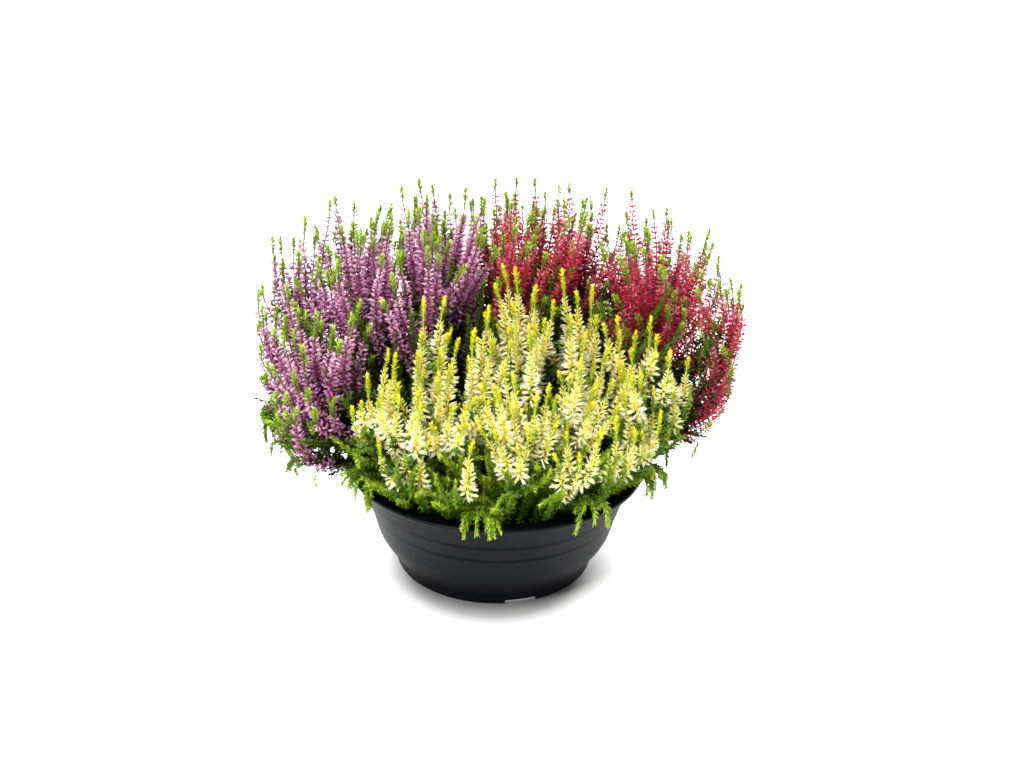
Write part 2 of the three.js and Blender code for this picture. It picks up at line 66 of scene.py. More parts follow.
# ---- Growth, as in the part's source
START_Z, ROOT_Z = 79, 65.5
STEM_R, TWIG_R, TIP_R = 1.45, 1.15, 0.8
SPRAYS, EDGE, GOLDEN, SPRAY_TURN, SHIFT = 45, 1.43, math.pi * (3 - math.sqrt(5)), 0.4, 0.2
SOIL_REACH, CROWN_SPREAD, FORK_BEND = 92, 0.86, 0.72
LOW_RISE, LOW_ARCH, FALL_FRONT = 65, 0.4, (20, 0.5)
STEM_STEP, LEAFY_R, SLIM_SHARE = 30, (3.4, 2.2), 0.16
CLEAR, KIN, SHORTER, TRIALS, TALL = 0.4, 0.55, 0.84, 4, 0.88
HOLE, LIP_GAP = 12, 2
PARTS, BALL_STEP, NEAR = 48, 4, 16
LEAFY_ROOM, MAIN_ROOM, SIDE_ROOM = 0.9, 0.68, 0.84  # share of a shoot that florets may cover
PLANTS = {
    "purple": dict(
        crown=(165 * DEG, 52), sector=(106 * DEG, 214 * DEG), side=178.5, front=134.5, bend=3.4,
        drop=0, slope=0, tuck=0.18, least=116, count=240, turn=1.1, floret=(6.4, 3.4),
        bloom=(66, 98),
    ),
    "red": dict(
        crown=(44 * DEG, 52), sector=(-8 * DEG, 106 * DEG), side=179.5, front=134.5, bend=3.0,
        drop=0, slope=0, tuck=0.3, least=116, count=220, turn=2.9, floret=(6.0, 3.1),
        bloom=(66, 98),
    ),
    "white": dict(
        crown=(-80 * DEG, 50), sector=(-146 * DEG, -8 * DEG), side=150, front=137, bend=3.4,
        drop=20, slope=0.22, tuck=0, least=112, count=270, turn=2.0, floret=(6.8, 3.0),
        bloom=(56, 84),
    ),
}
# Share of all shoots up to this tier, height and its spread, fork and its spread.
TIERS = [(0.54, 0.91, 0.14, 0.2, 0.22), (0.8, 0.68, 0.16, 0.14, 0.14), (1, 0.46, 0.16, 0.08, 0.1)]
DOME = [(0, 0, 286), (0.5, 0.43, 282), (0.9, 0.83, 266), (1.05, 1, 240)]
MOUND = [
    (0, 0, 286), (0.5, 0.4, 288), (1, 0.78, 283), (1.2, 0.92, 272), (1.35, 0.98, 250),
    (1.5, 1, 218),
]
SKIRT_Z, SKIRT_BEND = 88, 0.9
FRINGES, FRINGE_AZ, FRINGE_STEP, FRINGE_TRIALS = 10, -1.2, 0.07, 12
FRINGE_EDGE, FRINGE_SPREAD, FRINGE_R, FRINGE_DEPTH = 1.52, 0.13, 131, 60
FRINGE_Z, FRINGE_LENGTH, FRINGE_SHOOTS = 91, 60, 3
FRINGE_SHIFT, FRINGE_LABEL = (0.5, 1), (-0.14, 0.08)
FRINGE_TALL, FRINGE_FORK = (0.4, 2.2), (0.08, 0.4)
GROWTH_SEED = 3

# ---- What this script adds to the plants
# For each plant, the shoots that fill in: count of their lattice, ease, outermost label.
INFILL = {"purple": (1000, 0.5, 1.5), "red": (1000, 0.5, 1.5), "white": (900, 0.6, 1.34)}
INFILL_SEED, INFILL_TURN, DRESS_SEED = 17, 0.9, 1000
INFILL_TALL = 0.93  # their height, as a share of what the lattice gives
OUTLIERS, OUTLIER_TALL = 19, 1.05  # every so many of them, one stands this tall
# Closer lattices for parts of a plant: count, labels from and to, height from and to, ease,
# angles from and to.
PATCHES = {
    "purple": [
        (1300, (0.98, 1.4), (0.76, 1.04), 0.4, (106, 214)),
        (1300, (0.6, 1.3), (0.45, 0.88), 0.48, (106, 214)),
        (1700, (0.4, 1.1), (0.55, 0.9), 0.36, (108, 150)),
        (1700, (0.8, 1.42), (0.5, 0.9), 0.34, (196, 214)),
    ],
    "red": [
        (1300, (0.98, 1.4), (0.76, 1.04), 0.4, (-8, 106)),
        (1300, (0.6, 1.3), (0.45, 0.88), 0.48, (-8, 106)),
        (1700, (0.5, 1.3), (0.55, 0.95), 0.34, (-8, 22)),
    ],
    "white": [
        (900, (0.66, 1.12), (0.4, 0.8), 0.55, (-146, -8)),
        (1500, (1.0, 1.34), (0.72, 1.2), 0.5, (-140, -20)),
    ],
}
# Last of all, close shoots where the background would show between the others: the plant,
# whether they carry leaves alone, and the patch.
LATE_PATCHES = [
    ("red", False, (2100, (0.9, 1.42), (0.5, 0.95), 0.3, (-8, 34))),
    ("purple", False, (2100, (1.0, 1.42), (0.4, 0.8), 0.3, (184, 214))),
    ("purple", True, (2100, (1.05, 1.43), (0.25, 0.62), 0.22, (186, 214))),
]
PATCH_TURN, LATE_TURN = 3, 10  # what the turns of the patches' lattices count from
TUFTS, TUFT_REACH, TUFT_SEED = 720, 97, 77  # lattice of the leafy tufts that stand in the soil
TUFT_EDGE = 84  # beyond this radius a tuft may be low
TUFT_LEAN, TUFT_ARCH = 1.15, 4  # a tuft at the edge leans out by this share of its height
TUFT_OUT, TUFT_ASIDE = 40, 12  # but by no more than this, and so much more at the sides
# share: how many of the plant's tufts grow; glow: stages of the leaves, low and high; row:
# between whorls of leaves; low: height of the lowest near the edge, as a share.
TUFT_LOOKS = {
    "purple": dict(share=0.75, height=(45, 150), glow=(0.1, 0.5), row=2.5, low=0.3),
    "red": dict(share=0.75, height=(45, 160), glow=(0.1, 0.5), row=2.5, low=0.3),
    "white": dict(share=1.0, height=(22, 72), glow=(0.22, 0.72), row=1.7, low=1),
}
LEAFY_ROW, LEAFY_GLOW = 1.7, (0.24, 0.58)  # row and glow of a leafy shoot
LEAFY_LEAN, LEAFY_BARE = (66, 26), (2, 8)  # bare: at the foot of a side shoot, of a main stem
TUFT_STEM, TUFT_BARE = (0.7, 0.15), 4  # radius low and high, and bare length at the foot
LEAFY_EDGE = 1.34  # shoots of the white plant beyond this label carry leaves alone
FRINGE_MORE, FRINGE_EASE = 7, 0.4  # further leafy shoots for each fringe spray
UPRIGHT = {"purple": 0.5, "red": 0.5, "white": 0.7}  # flowers start where a shoot rises so
LEAST_BLOOM = 30  # and cover this length of it at least
WOBBLE = 0.7  # how far a shoot wanders from its smooth line
LINE_STEP = 4  # distance between the points of a shoot's line
STEM_SIDES, STEM_SLIM, STEM_END = 4, 0.8, 0.2  # slim: share of the radius in the CAD
LEAFY_STEM = 0.45  # stage of a leafy shoot's stem at its tip
LEAF_LOW, TWIG_LOW = 2, 3  # leaves and twigs stand at least this far above the soil's level
LEAF_OUT, FLORET_OUT = 0.45, 0.5  # from the line of a shoot to the foot of what it carries
HEAD_SHARE = 0.35  # the leafy tip takes no more than this share of the flowering part

# One kind of floret. step: between whorls; per: florets in a whorl; size: length low and near
# the tip; girth: width as a share of length; open: how far the sepals' tips part; lean: angle
# from the stem, low and near the tip; head: length of the leafy tip; neck: bare stem below it;
# tip_leaf, tip_lean: length and width of its leaves, and their angle from the stem; full: share
# of the spike, from below, where its florets are nearly full size.
FLORETS = {
    "purple": dict(
        step=3.6, per=5, size=(5.8, 3.8), girth=0.165, open=0.12, lean=(86, 60), head=(8, 16),
        neck=(2, 7), tip_leaf=(4.3, 1.7), tip_lean=(62, 26), full=0.45,
    ),
    "red": dict(
        step=3.7, per=5, size=(5.6, 3.7), girth=0.155, open=0.1, lean=(84, 64), head=(7, 14),
        neck=(2, 6), tip_leaf=(4.0, 1.6), tip_lean=(62, 26), full=0.45,
    ),
    "white": dict(
        step=2.5, per=5, size=(8.0, 3.0), girth=0.14, open=0.12, lean=(98, 38), head=(12, 26),
        neck=(0, 1), tip_leaf=(4.2, 2.0), tip_lean=(46, 16), full=0.3,
    ),
}
FINE_FROM, FINE_TALL = 0.5, 0.8  # upper florets of tall shoots have finer sepals
LEAF_STEP, TIP_STAGE = 1.4, 0.66  # between whorls on a leafy tip, and the stage of its first
TIP_CURVE = ([0, 0.2, 0.45, 0.8, 1], [0.5, 0.6, 1, 0.95, 0.6])  # size of its leaves along it
LEAFY_CURVE = ([0, 0.2, 0.8, 1], [3.4, 5.2, 5, 3.4])  # length of leaves along a leafy shoot
# Between leafy twigs on the bare part of inner and of outer shoots.
SPRIG_STEP = {"purple": (11.25, 9), "red": (11.25, 9), "white": (9, 7.2)}
SPRIG_EDGE = 0.9  # shoots beyond this label are outer ones
SPRIG_LENGTH, SPRIG_PLACE = (9, 23), (0.12, 1.02)  # place: share of the bare part, from and to
SPRIG_ROWS, SPRIG_PER, SPRIG_LEAF, SPRIG_LEAN = 10, 3, (4.2, 1.9), (58, 24)
SPRIG_RISE = 0.15  # how far a twig curves up, as a share of its length


def mix(a, b, t):
    return a + (b - a) * t


def make_draw(seed):
    """The seeded draws of the part's source."""
    state = seed

    def draw():
        nonlocal state
        state = (state * 1664525 + 1013904223) % 4294967296
        return state / 4294967296

    return draw


def polar(r, az):
    return r * math.cos(az), r * math.sin(az)


def unit(v):
    return v / np.maximum(np.linalg.norm(v, axis=-1, keepdims=True), 1e-12)


# ---- Growth rule
class Shoot:
    """A shoot's label in the growth disc and how it grows; measure() adds its lengths."""

    def __init__(self, x, y, tall, length, fork=0.0):
        self.x, self.y, self.tall, self.length, self.fork = x, y, tall, length, fork
        self.leafy = False


class Spray:
    """Shoots that fork from one main stem, which is the first of them."""

    def __init__(self, kind, x, y, leafy=False):
        self.kind, self.x, self.y, self.leafy = kind, x, y, leafy
        self.shoots, self.tufts = [], []


def plant_at(az):
    start = PLANTS["white"]["sector"][0]
    a = (az - start) % math.tau + start
    for kind, plant in PLANTS.items():
        if plant["sector"][0] <= a < plant["sector"][1]:
            return kind
    return "white"


def tip_of(spray, x, y):
    plant = PLANTS[spray.kind]
    a, az = np.hypot(x, y), np.arctan2(y, x)
    if spray.leafy:
        out = FRINGE_R + FRINGE_DEPTH * (a - FRINGE_EDGE)
        return out * np.cos(az), out * np.sin(az), np.full_like(a, FRINGE_Z)
    labels, shares, heights = zip(*(MOUND if spray.kind == "white" else DOME))
    brink = labels[-1]
    reach = plant["front"] + (plant["side"] - plant["front"]) * np.cos(az) ** 2
    share = np.interp(np.minimum(a, brink), labels, shares)
    height = np.interp(np.minimum(a, brink), labels, heights)
    fall = np.maximum(0, FALL_FRONT[0] - reach * share * np.sin(az))
    height = height - plant["drop"] - FALL_FRONT[1] * fall
    height = height - plant["slope"] * np.abs(reach * share * np.cos(az))
    if brink < EDGE:
        d = np.maximum(0, (a - brink) / (EDGE - brink))
        height = height + (SKIRT_Z - height) * d**SKIRT_BEND
        share = share - plant["tuck"] * d * d
    r = reach * share
    return r * np.cos(az), r * np.sin(az), np.maximum(height, plant["least"])


def growth(spray, x, y, t, tall):
    """Points of the growth line of labels x, y: t runs from 0 at the soil to 1 at the tip."""
    plant = PLANTS[spray.kind]
    crown_az, crown_r = plant["crown"]
    az = np.arctan2(y, x)
    r = SOIL_REACH * np.sin(math.pi / 2 * np.minimum(1, np.hypot(x, y) / EDGE))
    foot_x = mix(crown_r * math.cos(crown_az), r * np.cos(az), CROWN_SPREAD)
    foot_y = mix(crown_r * math.sin(crown_az), r * np.sin(az), CROWN_SPREAD)
    tip_x, tip_y, tip_z = tip_of(spray, x, y)
    rise = (tip_z - START_Z) * tall
    out = 1 - (1 - t) ** plant["bend"] * (1 + plant["bend"] * t)
    arch = LOW_ARCH * np.maximum(0, LOW_RISE - rise)
    height = START_Z + rise * t + arch * np.sin(math.pi * t)
    return np.stack([mix(foot_x, tip_x, out), mix(foot_y, tip_y, out), height], axis=-1)


def along(spray, shoot, t):
    main = spray.shoots[0]
    t = np.asarray(t, dtype=float)
    if shoot is main:
        x, y = np.full_like(t, main.x), np.full_like(t, main.y)
        return growth(spray, x, y, t, mix(1, main.tall, t))
    w = np.maximum(0, (t - shoot.fork) / (1 - shoot.fork)) ** FORK_BEND
    tall = mix(mix(1, main.tall, shoot.fork), shoot.tall, w)
    return growth(spray, mix(main.x, shoot.x, w), mix(main.y, shoot.y, w), t, tall)


def measure(spray, shoot):
    is_main = shoot is spray.shoots[0]
    shoot.t = mix(0 if is_main else shoot.fork, 1, np.arange(PARTS + 1) / PARTS)
    steps = np.linalg.norm(np.diff(along(spray, shoot, shoot.t), axis=0), axis=1)
    shoot.s = np.concatenate([[0], np.cumsum(steps)])
    shoot.total = shoot.s[-1]
    room = LEAFY_ROOM if spray.leafy else MAIN_ROOM if is_main else SIDE_ROOM
    shoot.bloom = min(shoot.length, room * shoot.total)


def point_at(spray, shoot, s):
    return along(spray, shoot, np.interp(s, shoot.s, shoot.t))


def radius_at(spray, shoot, s):
    wide, slim = LEAFY_R if spray.leafy else PLANTS[spray.kind]["floret"]
    u = (shoot.total - s) / shoot.bloom
    body = mix(slim, wide, np.minimum(1, 2 * (u - SLIM_SHARE)))
    r = np.where(u < SLIM_SHARE, mix(TIP_R, slim, u / SLIM_SHARE), body)
    return np.where(shoot.total - s > shoot.bloom, TWIG_R, r)


def balls_of(spray, shoot):
    count = math.ceil(shoot.total / BALL_STEP)
    s = shoot.total * np.arange(count + 1) / count
    r = radius_at(spray, shoot, s) + CLEAR
    return point_at(spray, shoot, s), r, s, shoot.total - s < shoot.bloom


class Crowd:
    """Balls along every shoot placed so far."""

    def __init__(self):
        self.p, self.r = np.zeros((0, 3)), np.zeros(0)
        self.flowers, self.owner = np.zeros(0, bool), np.zeros(0, int)

    def add(self, spray, balls):
        p, r, _, flowers = balls
        self.p = np.concatenate([self.p, p])
        self.r = np.concatenate([self.r, r])
        self.flowers = np.concatenate([self.flowers, flowers])
        self.owner = np.concatenate([self.owner, np.full(len(r), id(spray))])

    def leaves_room(self, spray, balls, ease, finest=False):
        p, r, s, flowers = balls
        out = np.hypot(p[:, 0], p[:, 1])
        low = p[:, 2] - r
        in_soil = (s > HOLE) & (out < RIM_R) & (low < SOIL_Z + SOIL_BUMP)
        on_lip = (out > LIP_IN_R - r - LIP_GAP) & (out < RIM_R + r) & (low < RIM_Z)
        if in_soil.any() or on_lip.any():
            return False
        near = np.all((self.p > p.min(0) - NEAR) & (self.p < p.max(0) + NEAR), axis=1)
        kin = self.owner[near] == id(spray)
        both = flowers[:, None] & self.flowers[near][None, :]
        gap = (r[:, None] + self.r[near][None, :]) * np.where(kin, min(KIN, ease), ease)
        apart = np.sum((p[:, None, :] - self.p[near][None, :, :]) ** 2, axis=2)
        counts = both if finest else ~kin[None, :] | (both & (not spray.leafy))
        return not np.any(counts & (apart < gap * gap))


def add_shoot(spray, shoot, crowd, ease=1.0, finest=False):
    """Adds a side shoot at the nearest joint of the main stem, if it stands clear."""
    main = spray.shoots[0]
    bare = main.total - main.bloom
    joints = max(1, math.floor(bare / STEM_STEP + 0.5))
    forks = np.interp(bare * (np.arange(joints) + 1) / joints, main.s, main.t)
    shoot.fork = forks[np.argmin(np.abs(forks - shoot.fork))]
    for _ in range(TRIALS):
        measure(spray, shoot)
        balls = balls_of(spray, shoot)
        if crowd.leaves_room(spray, balls, ease, finest):
            spray.shoots.append(shoot)
            crowd.add(spray, balls)
            return
        shoot.length = SHORTER * shoot.bloom


def lattice_shoots(kind, count, turn, draw):
    """Shoots of one plant in a sunflower lattice, slightly out of place."""
    plant = PLANTS[kind]
    gap = EDGE * math.sqrt(math.pi / count)
    for i in range(count):
        a = EDGE * math.sqrt((i + 0.5) / count)
        az = i * GOLDEN + turn
        x = a * math.cos(az) + gap * mix(-SHIFT, SHIFT, draw())
        y = a * math.sin(az) + gap * mix(-SHIFT, SHIFT, draw())
        level = draw()
        tier = next(t for t in TIERS if level < t[0])
        tall = tier[1] + tier[2] * draw()
        fork = tier[3] + tier[4] * draw()
        length = mix(*plant["bloom"], draw())
        if plant_at(math.atan2(y, x)) == kind:
            yield Shoot(x, y, tall, length, fork)


def of_kind(sprays, kind):
    return [spray for spray in sprays if spray.kind == kind]


def home_of(shoot, sprays):
    """The spray whose label is nearest."""

    def far(spray):
        return (spray.x - shoot.x) ** 2 + (spray.y - shoot.y) ** 2

    home = min(sprays, key=far)
    shoot.away = far(home)
    return home


def grow_sprays(crowd, draw):
    sprays = []
    for i in range(SPRAYS):
        a = EDGE * math.sqrt((i + 0.5) / SPRAYS)
        az = i * GOLDEN + SPRAY_TURN
        sprays.append(Spray(plant_at(az), *polar(a, az)))
    for kind, plant in PLANTS.items():
        own = of_kind(sprays, kind)
        for shoot in lattice_shoots(kind, plant["count"], plant["turn"], draw):
            home_of(shoot, own).shoots.append(shoot)
    grown = [spray for spray in sprays if spray.shoots]
    for spray in grown:
        spray.shoots.sort(key=lambda shoot: shoot.away + (0 if shoot.tall > TALL else 1))
        measure(spray, spray.shoots[0])
        crowd.add(spray, balls_of(spray, spray.shoots[0]))
    for spray in grown:
        main, *others = spray.shoots
        spray.shoots = [main]
        for shoot in others:
            add_shoot(spray, shoot, crowd)
    return grown


def add_fringe_shoots(spray, az, count, crowd, draw, ease=1.0):
    """Side shoots in turn on both sides of a fringe spray that stands at this angle."""
    for k in range(count):
        shift = mix(*FRINGE_SHIFT, draw())
        a = FRINGE_EDGE + mix(*FRINGE_LABEL, draw())
        tall, fork = mix(*FRINGE_TALL, draw()), mix(*FRINGE_FORK, draw())
        x, y = polar(a, az + FRINGE_SPREAD * (1 if k % 2 == 0 else -1) * shift)
        add_shoot(spray, Shoot(x, y, tall, FRINGE_LENGTH, fork), crowd, ease)


def grow_fringe(crowd, draw):
    fringe = []
    step = math.tau / FRINGES
    for i in range(FRINGES):
        for trial in range(FRINGE_TRIALS):
            az = FRINGE_AZ + step * (i + FRINGE_STEP * trial)
            x, y = polar(FRINGE_EDGE, az)
            spray = Spray(plant_at(az), x, y, leafy=True)
            spray.shoots = [Shoot(x, y, 1, FRINGE_LENGTH)]
            measure(spray, spray.shoots[0])
            balls = balls_of(spray, spray.shoots[0])
            if crowd.leaves_room(spray, balls, 1.0):
                crowd.add(spray, balls)
                add_fringe_shoots(spray, az, FRINGE_SHOOTS, crowd, draw)
                fringe.append(spray)
                break
    return fringe


def name_sprays(sprays):
    numbers = {}
    for spray in sprays:
        sort = f"{spray.kind}_{'leafy' if spray.leafy else 'flower'}_spray"
        numbers[sort] = numbers.get(sort, 0) + 1
        spray.name = f"{sort}_{numbers[sort]:02d}"


def fill_patch(kind, own, crowd, draw, turns, count, labels, tall, ease, sector):
    """Adds shoots to a part of a plant where the others stand far apart."""
    turn = PLANTS[kind]["turn"] + turns * INFILL_TURN
    for shoot in lattice_shoots(kind, count, turn, draw):
        shoot.tall = mix(*tall, draw())
        az = math.atan2(shoot.y, shoot.x) / DEG
        az = az + 360 if az < sector[0] else az
        if labels[0] < math.hypot(shoot.x, shoot.y) < labels[1] and az < sector[1]:
            add_shoot(home_of(shoot, own), shoot, crowd, ease, True)


def fill_plant(kind, own, crowd, draw):
    """Adds the shoots that the CAD leaves out, in closer lattices."""
    count, ease, edge = INFILL[kind]
    for shoot in lattice_shoots(kind, count, PLANTS[kind]["turn"] + INFILL_TURN, draw):
        outlier = int(shoot.length * 1000) % OUTLIERS == 0
        shoot.tall = OUTLIER_TALL if outlier else INFILL_TALL * shoot.tall
        if math.hypot(shoot.x, shoot.y) < edge:
            add_shoot(home_of(shoot, own), shoot, crowd, ease, True)
    for k, patch in enumerate(PATCHES[kind]):
        fill_patch(kind, own, crowd, draw, PATCH_TURN + k, *patch)


def fill_in(sprays, fringe, crowd):
    """Fills in all plants and the fringe, and says which shoots carry leaves alone."""
    draw = make_draw(INFILL_SEED)
    for kind in PLANTS:
        fill_plant(kind, of_kind(sprays, kind), crowd, draw)
    for spray in of_kind(sprays, "white"):
        for shoot in spray.shoots:
            shoot.leafy = math.hypot(shoot.x, shoot.y) > LEAFY_EDGE
        spray.shoots[0].leafy &= not all(shoot.leafy for shoot in spray.shoots[1:])
    for spray in fringe:
        az = math.atan2(spray.y, spray.x)
        add_fringe_shoots(spray, az, FRINGE_MORE, crowd, draw, FRINGE_EASE)
    for k, (kind, leafy, patch) in enumerate(LATE_PATCHES):
        own = of_kind(sprays, kind)
        before = {id(shoot) for spray in own for shoot in spray.shoots}
        fill_patch(kind, own, crowd, draw, LATE_TURN + k, *patch)
        for shoot in (shoot for spray in own for shoot in spray.shoots):
            shoot.leafy |= leafy and id(shoot) not in before


def plant_tufts(sprays, rng):
    """Leafy tufts that stand in the soil: the points of each, given to the nearest spray."""
    t = np.linspace(0, 1, 8)
    for i in range(TUFTS):
        r = TUFT_REACH * math.sqrt((i + 0.5) / TUFTS)
        az = i * GOLDEN + rng.normal(0, 0.02)
        kind = plant_at(az)
        look = TUFT_LOOKS[kind]
        height = rng.uniform(*look["height"])
        height = height * (rng.uniform(look["low"], 1) if r > TUFT_EDGE else 1)
        lean = TUFT_LEAN * (r / TUFT_REACH) ** TUFT_ARCH + rng.normal(0, 0.16)
        turn = az + rng.normal(0, 0.7)
        if rng.uniform() < look["share"]:
            out = min(lean * height, TUFT_OUT + TUFT_ASIDE * math.cos(az) ** 2) * t**1.4
            foot = np.array(polar(r, az))
            x, y = foot[0] + out * math.cos(turn), foot[1] + out * math.sin(turn)
            own = of_kind(sprays, kind)
            home = min(own, key=lambda spray: np.sum((spray.foot - foot) ** 2))
            home.tufts.append(np.stack([x, y, SOIL_Z - 1 + (height + 1) * t], axis=1))


# ---- Mesh helpers
def put(name, data):
    obj = bpy.data.objects.new(name, data)
    bpy.context.scene.collection.objects.link(obj)
    return obj


def swing(a, b, angle):
    """Directions at an angle from a towards b."""
    return a * np.cos(angle) + b * np.sin(angle)


class Skin:
    """Collects vertices, triangles and the values that the materials read, in millimetres."""

    VALUES = ("pick", "stage", "along", "wood")

    def __init__(self):
        self.points, self.faces, self.values, self.size = [], [], [], 0

    def add(self, points, faces, pick, stage, along_leaf, wood):
        count = len(points)
        values = [np.broadcast_to(v, (count,)) for v in (pick, stage, along_leaf, wood)]
        self.points.append(points)
        self.faces.append(faces + self.size)
        self.values.append(np.stack(values, axis=1))
        self.size += count

    def stamp(self, form, origin, axis, side, length, width, pick, stage, wood=0.0):
        """Copies of a form: its Z along axis, its X along side."""
        count, corners = len(origin), len(form.points)
        width, pick, stage = (np.broadcast_to(v, count) for v in (width, pick, stage))
        scaled = form.points[None] * np.stack([width, width, length], axis=1)[:, None]
        basis = np.stack([side, np.cross(axis, side), axis], axis=1)
        points = np.einsum("nvk,nkc->nvc", scaled, basis) + origin[:, None]
        faces = form.faces[None] + (np.arange(count) * corners)[:, None, None]
        self.add(
            points.reshape(-1, 3), faces.reshape(-1, 3), np.repeat(pick, corners),
            np.repeat(stage, corners), np.tile(form.points[:, 2], count), wood,
        )

    def tube(self, points, side, radius, sides, pick, stage):
        """The skin of a stem along the points, with no caps."""
        axis = unit(np.gradient(points, axis=0))
        side = unit(side - axis * np.sum(side * axis, axis=1, keepdims=True))
        angle = (np.arange(sides) * math.tau / sides)[None, :, None]
        ring = swing(side[:, None], np.cross(axis, side)[:, None], angle)
        skin = points[:, None] + ring * radius[:, None, None]
        start, k = np.meshgrid(np.arange(len(points) - 1) * sides, np.arange(sides), indexing="ij")
        a, b = start + k, start + (k + 1) % sides
        low = np.stack([a, b, b + sides], axis=2).reshape(-1, 3)
        high = np.stack([a, b + sides, a + sides], axis=2).reshape(-1, 3)
        faces = np.concatenate([low, high])
        self.add(skin.reshape(-1, 3), faces, pick, np.repeat(stage, sides), 0.5, 1.0)

    def build(self, name, material):
        points, faces = np.concatenate(self.points) * MM, np.concatenate(self.faces)
        mesh = bpy.data.meshes.new(name)
        mesh.vertices.add(len(points))
        mesh.vertices.foreach_set("co", points.astype(np.float32).ravel())
        mesh.loops.add(faces.size)
        mesh.loops.foreach_set("vertex_index", faces.astype(np.int32).ravel())
        mesh.polygons.add(len(faces))
        mesh.polygons.foreach_set("loop_start", np.arange(0, faces.size, 3, dtype=np.int32))
        mesh.update(calc_edges=True)
        values = np.concatenate(self.values).astype(np.float32)
        for i, title in enumerate(self.VALUES):
            mesh.attributes.new(title, "FLOAT", "POINT").data.foreach_set("value", values[:, i])
        mesh.polygons.foreach_set("use_smooth", np.ones(len(faces), bool))
        mesh.materials.append(material)
        return put(name, mesh)


class Form:
    """A small shape to stamp: X and Y in units of width, Z from 0 at the base to 1."""

    def __init__(self, points, faces):
        self.points, self.faces = np.array(points, float), np.array(faces, int)


def floret_form(open_tips, fine):
    """A bud of four pointed, folded sepals whose tips part a little."""
    points, faces = [], []
    for k in range(4):
        base = len(points)
        places = [(0.05, 0, 0), (0.92, -0.72, 0.42), (0.92, 0.72, 0.42), (open_tips, 0, 1)]
        sepal = [(0, 1, 3), (0, 3, 2)]
        if fine:
            places.append((1.2, 0, 0.46))
            sepal = [(0, 1, 4), (0, 4, 2), (1, 3, 4), (4, 3, 2)]
        points += [(*polar(r, k * math.pi / 2 + angle), z) for r, angle, z in places]
        faces += [tuple(base + i for i in face) for face in sepal]
    return Form(points, faces)


# A scale leaf, folded along its rib, and the stalk of a leafy twig.
LEAF = Form([(0, 0, 0), (-0.5, 0.22, 0.42), (0.5, 0.22, 0.42), (0, 0.05, 1)], [(0, 3, 1), (0, 2, 3)])
STALK = Form(
    [(1, 0, 0), (-0.5, 0.87, 0), (-0.5, -0.87, 0), (0, 0, 1)], [(0, 1, 3), (1, 2, 3), (2, 0, 3)]
)


def across(axis, aside):
    """The part of a direction that is square to each axis."""
    return unit(aside - axis * (axis @ aside)[:, None])


class Line:
    """A centre line with a frame: arc lengths, points, direction, side and third vector."""

    def __init__(self, p, az, rng):
        steps = np.linalg.norm(np.diff(p, axis=0), axis=1)
        self.s = np.concatenate([[0], np.cumsum(steps)])
        self.total = self.s[-1]
        aside = np.array([-math.sin(az), math.cos(az), 0.0])
        axis = unit(np.gradient(p, axis=0))
        side = across(axis, aside)
        phase = rng.uniform(0, math.tau, 4)
        sway = np.sin(self.s / 11 + phase[0]) + 0.6 * np.sin(self.s / 5.3 + phase[1])
        rock = np.sin(self.s / 13 + phase[2]) + 0.6 * np.sin(self.s / 6.1 + phase[3])
        drift = sway[:, None] * side + rock[:, None] * np.cross(axis, side)
        self.p = p + WOBBLE * np.minimum(1, self.s / 30)[:, None] * drift
        self.axis = unit(np.gradient(self.p, axis=0))
        self.side = across(self.axis, aside)
        self.third = np.cross(self.axis, self.side)

    def at(self, s):
        def read(rows):
            return np.stack([np.interp(s, self.s, rows[:, c]) for c in range(3)], axis=1)

        return read(self.p), unit(read(self.axis)), unit(read(self.side)), unit(read(self.third))


def line_of(spray, shoot, rng):
    count = max(8, math.ceil(shoot.total / LINE_STEP))
    points = point_at(spray, shoot, np.linspace(0, shoot.total, count + 1))
    return Line(points, math.atan2(spray.y, spray.x), rng)


def rises_at(kind, line):
    """Arc length from which a shoot stands up."""
    flat = line.s[line.axis[:, 2] < UPRIGHT[kind]]
    return flat.max() if len(flat) else -math.inf


def bloom_start(kind, shoot, line):
    """Where the flowers begin: a shoot that lies low flowers only where it turns up."""
    start = max(line.total - shoot.bloom, rises_at(kind, line))
    return min(start, line.total - min(shoot.bloom, LEAST_BLOOM))


def leaning(line, s, turn, lean, clear):
    """Origins, axes and sides for what stands out from the line at these angles."""
    p, axis, side, third = line.at(s)
    out = swing(side, third, turn[:, None])
    return p + out * clear, unit(swing(axis, out, lean[:, None])), unit(np.cross(axis, out))


# ---- Dressing of the shoots
def whorls(s, per, rng, loose):
    """Arc lengths and turns of whorls that stand in the gaps of the whorl below."""
    count = len(s)
    turn = np.arange(count)[:, None] * (math.pi / per) + np.arange(per)[None, :] * math.tau / per
    turn = turn + rng.normal(0, loose, (count, per)) + rng.uniform(0, 6.3)
    spread = np.repeat(s, per).reshape(count, per) + rng.normal(0, 0.35, (count, per))
    return spread.ravel(), turn.ravel()


def dress_scales(greens, line, s, turn, lean, length, slim, stage, rng):
    """Scale leaves at these arc lengths and turns, where they are above the soil."""
    origin, axis, side = leaning(line, s, turn, lean, LEAF_OUT)
    keep = origin[:, 2] > SOIL_Z + LEAF_LOW
    greens.stamp(
        LEAF, origin[keep], axis[keep], side[keep], length[keep], slim * length[keep],
        rng.uniform(0, 1, int(keep.sum())), np.clip(stage, 0, 1)[keep],
    )


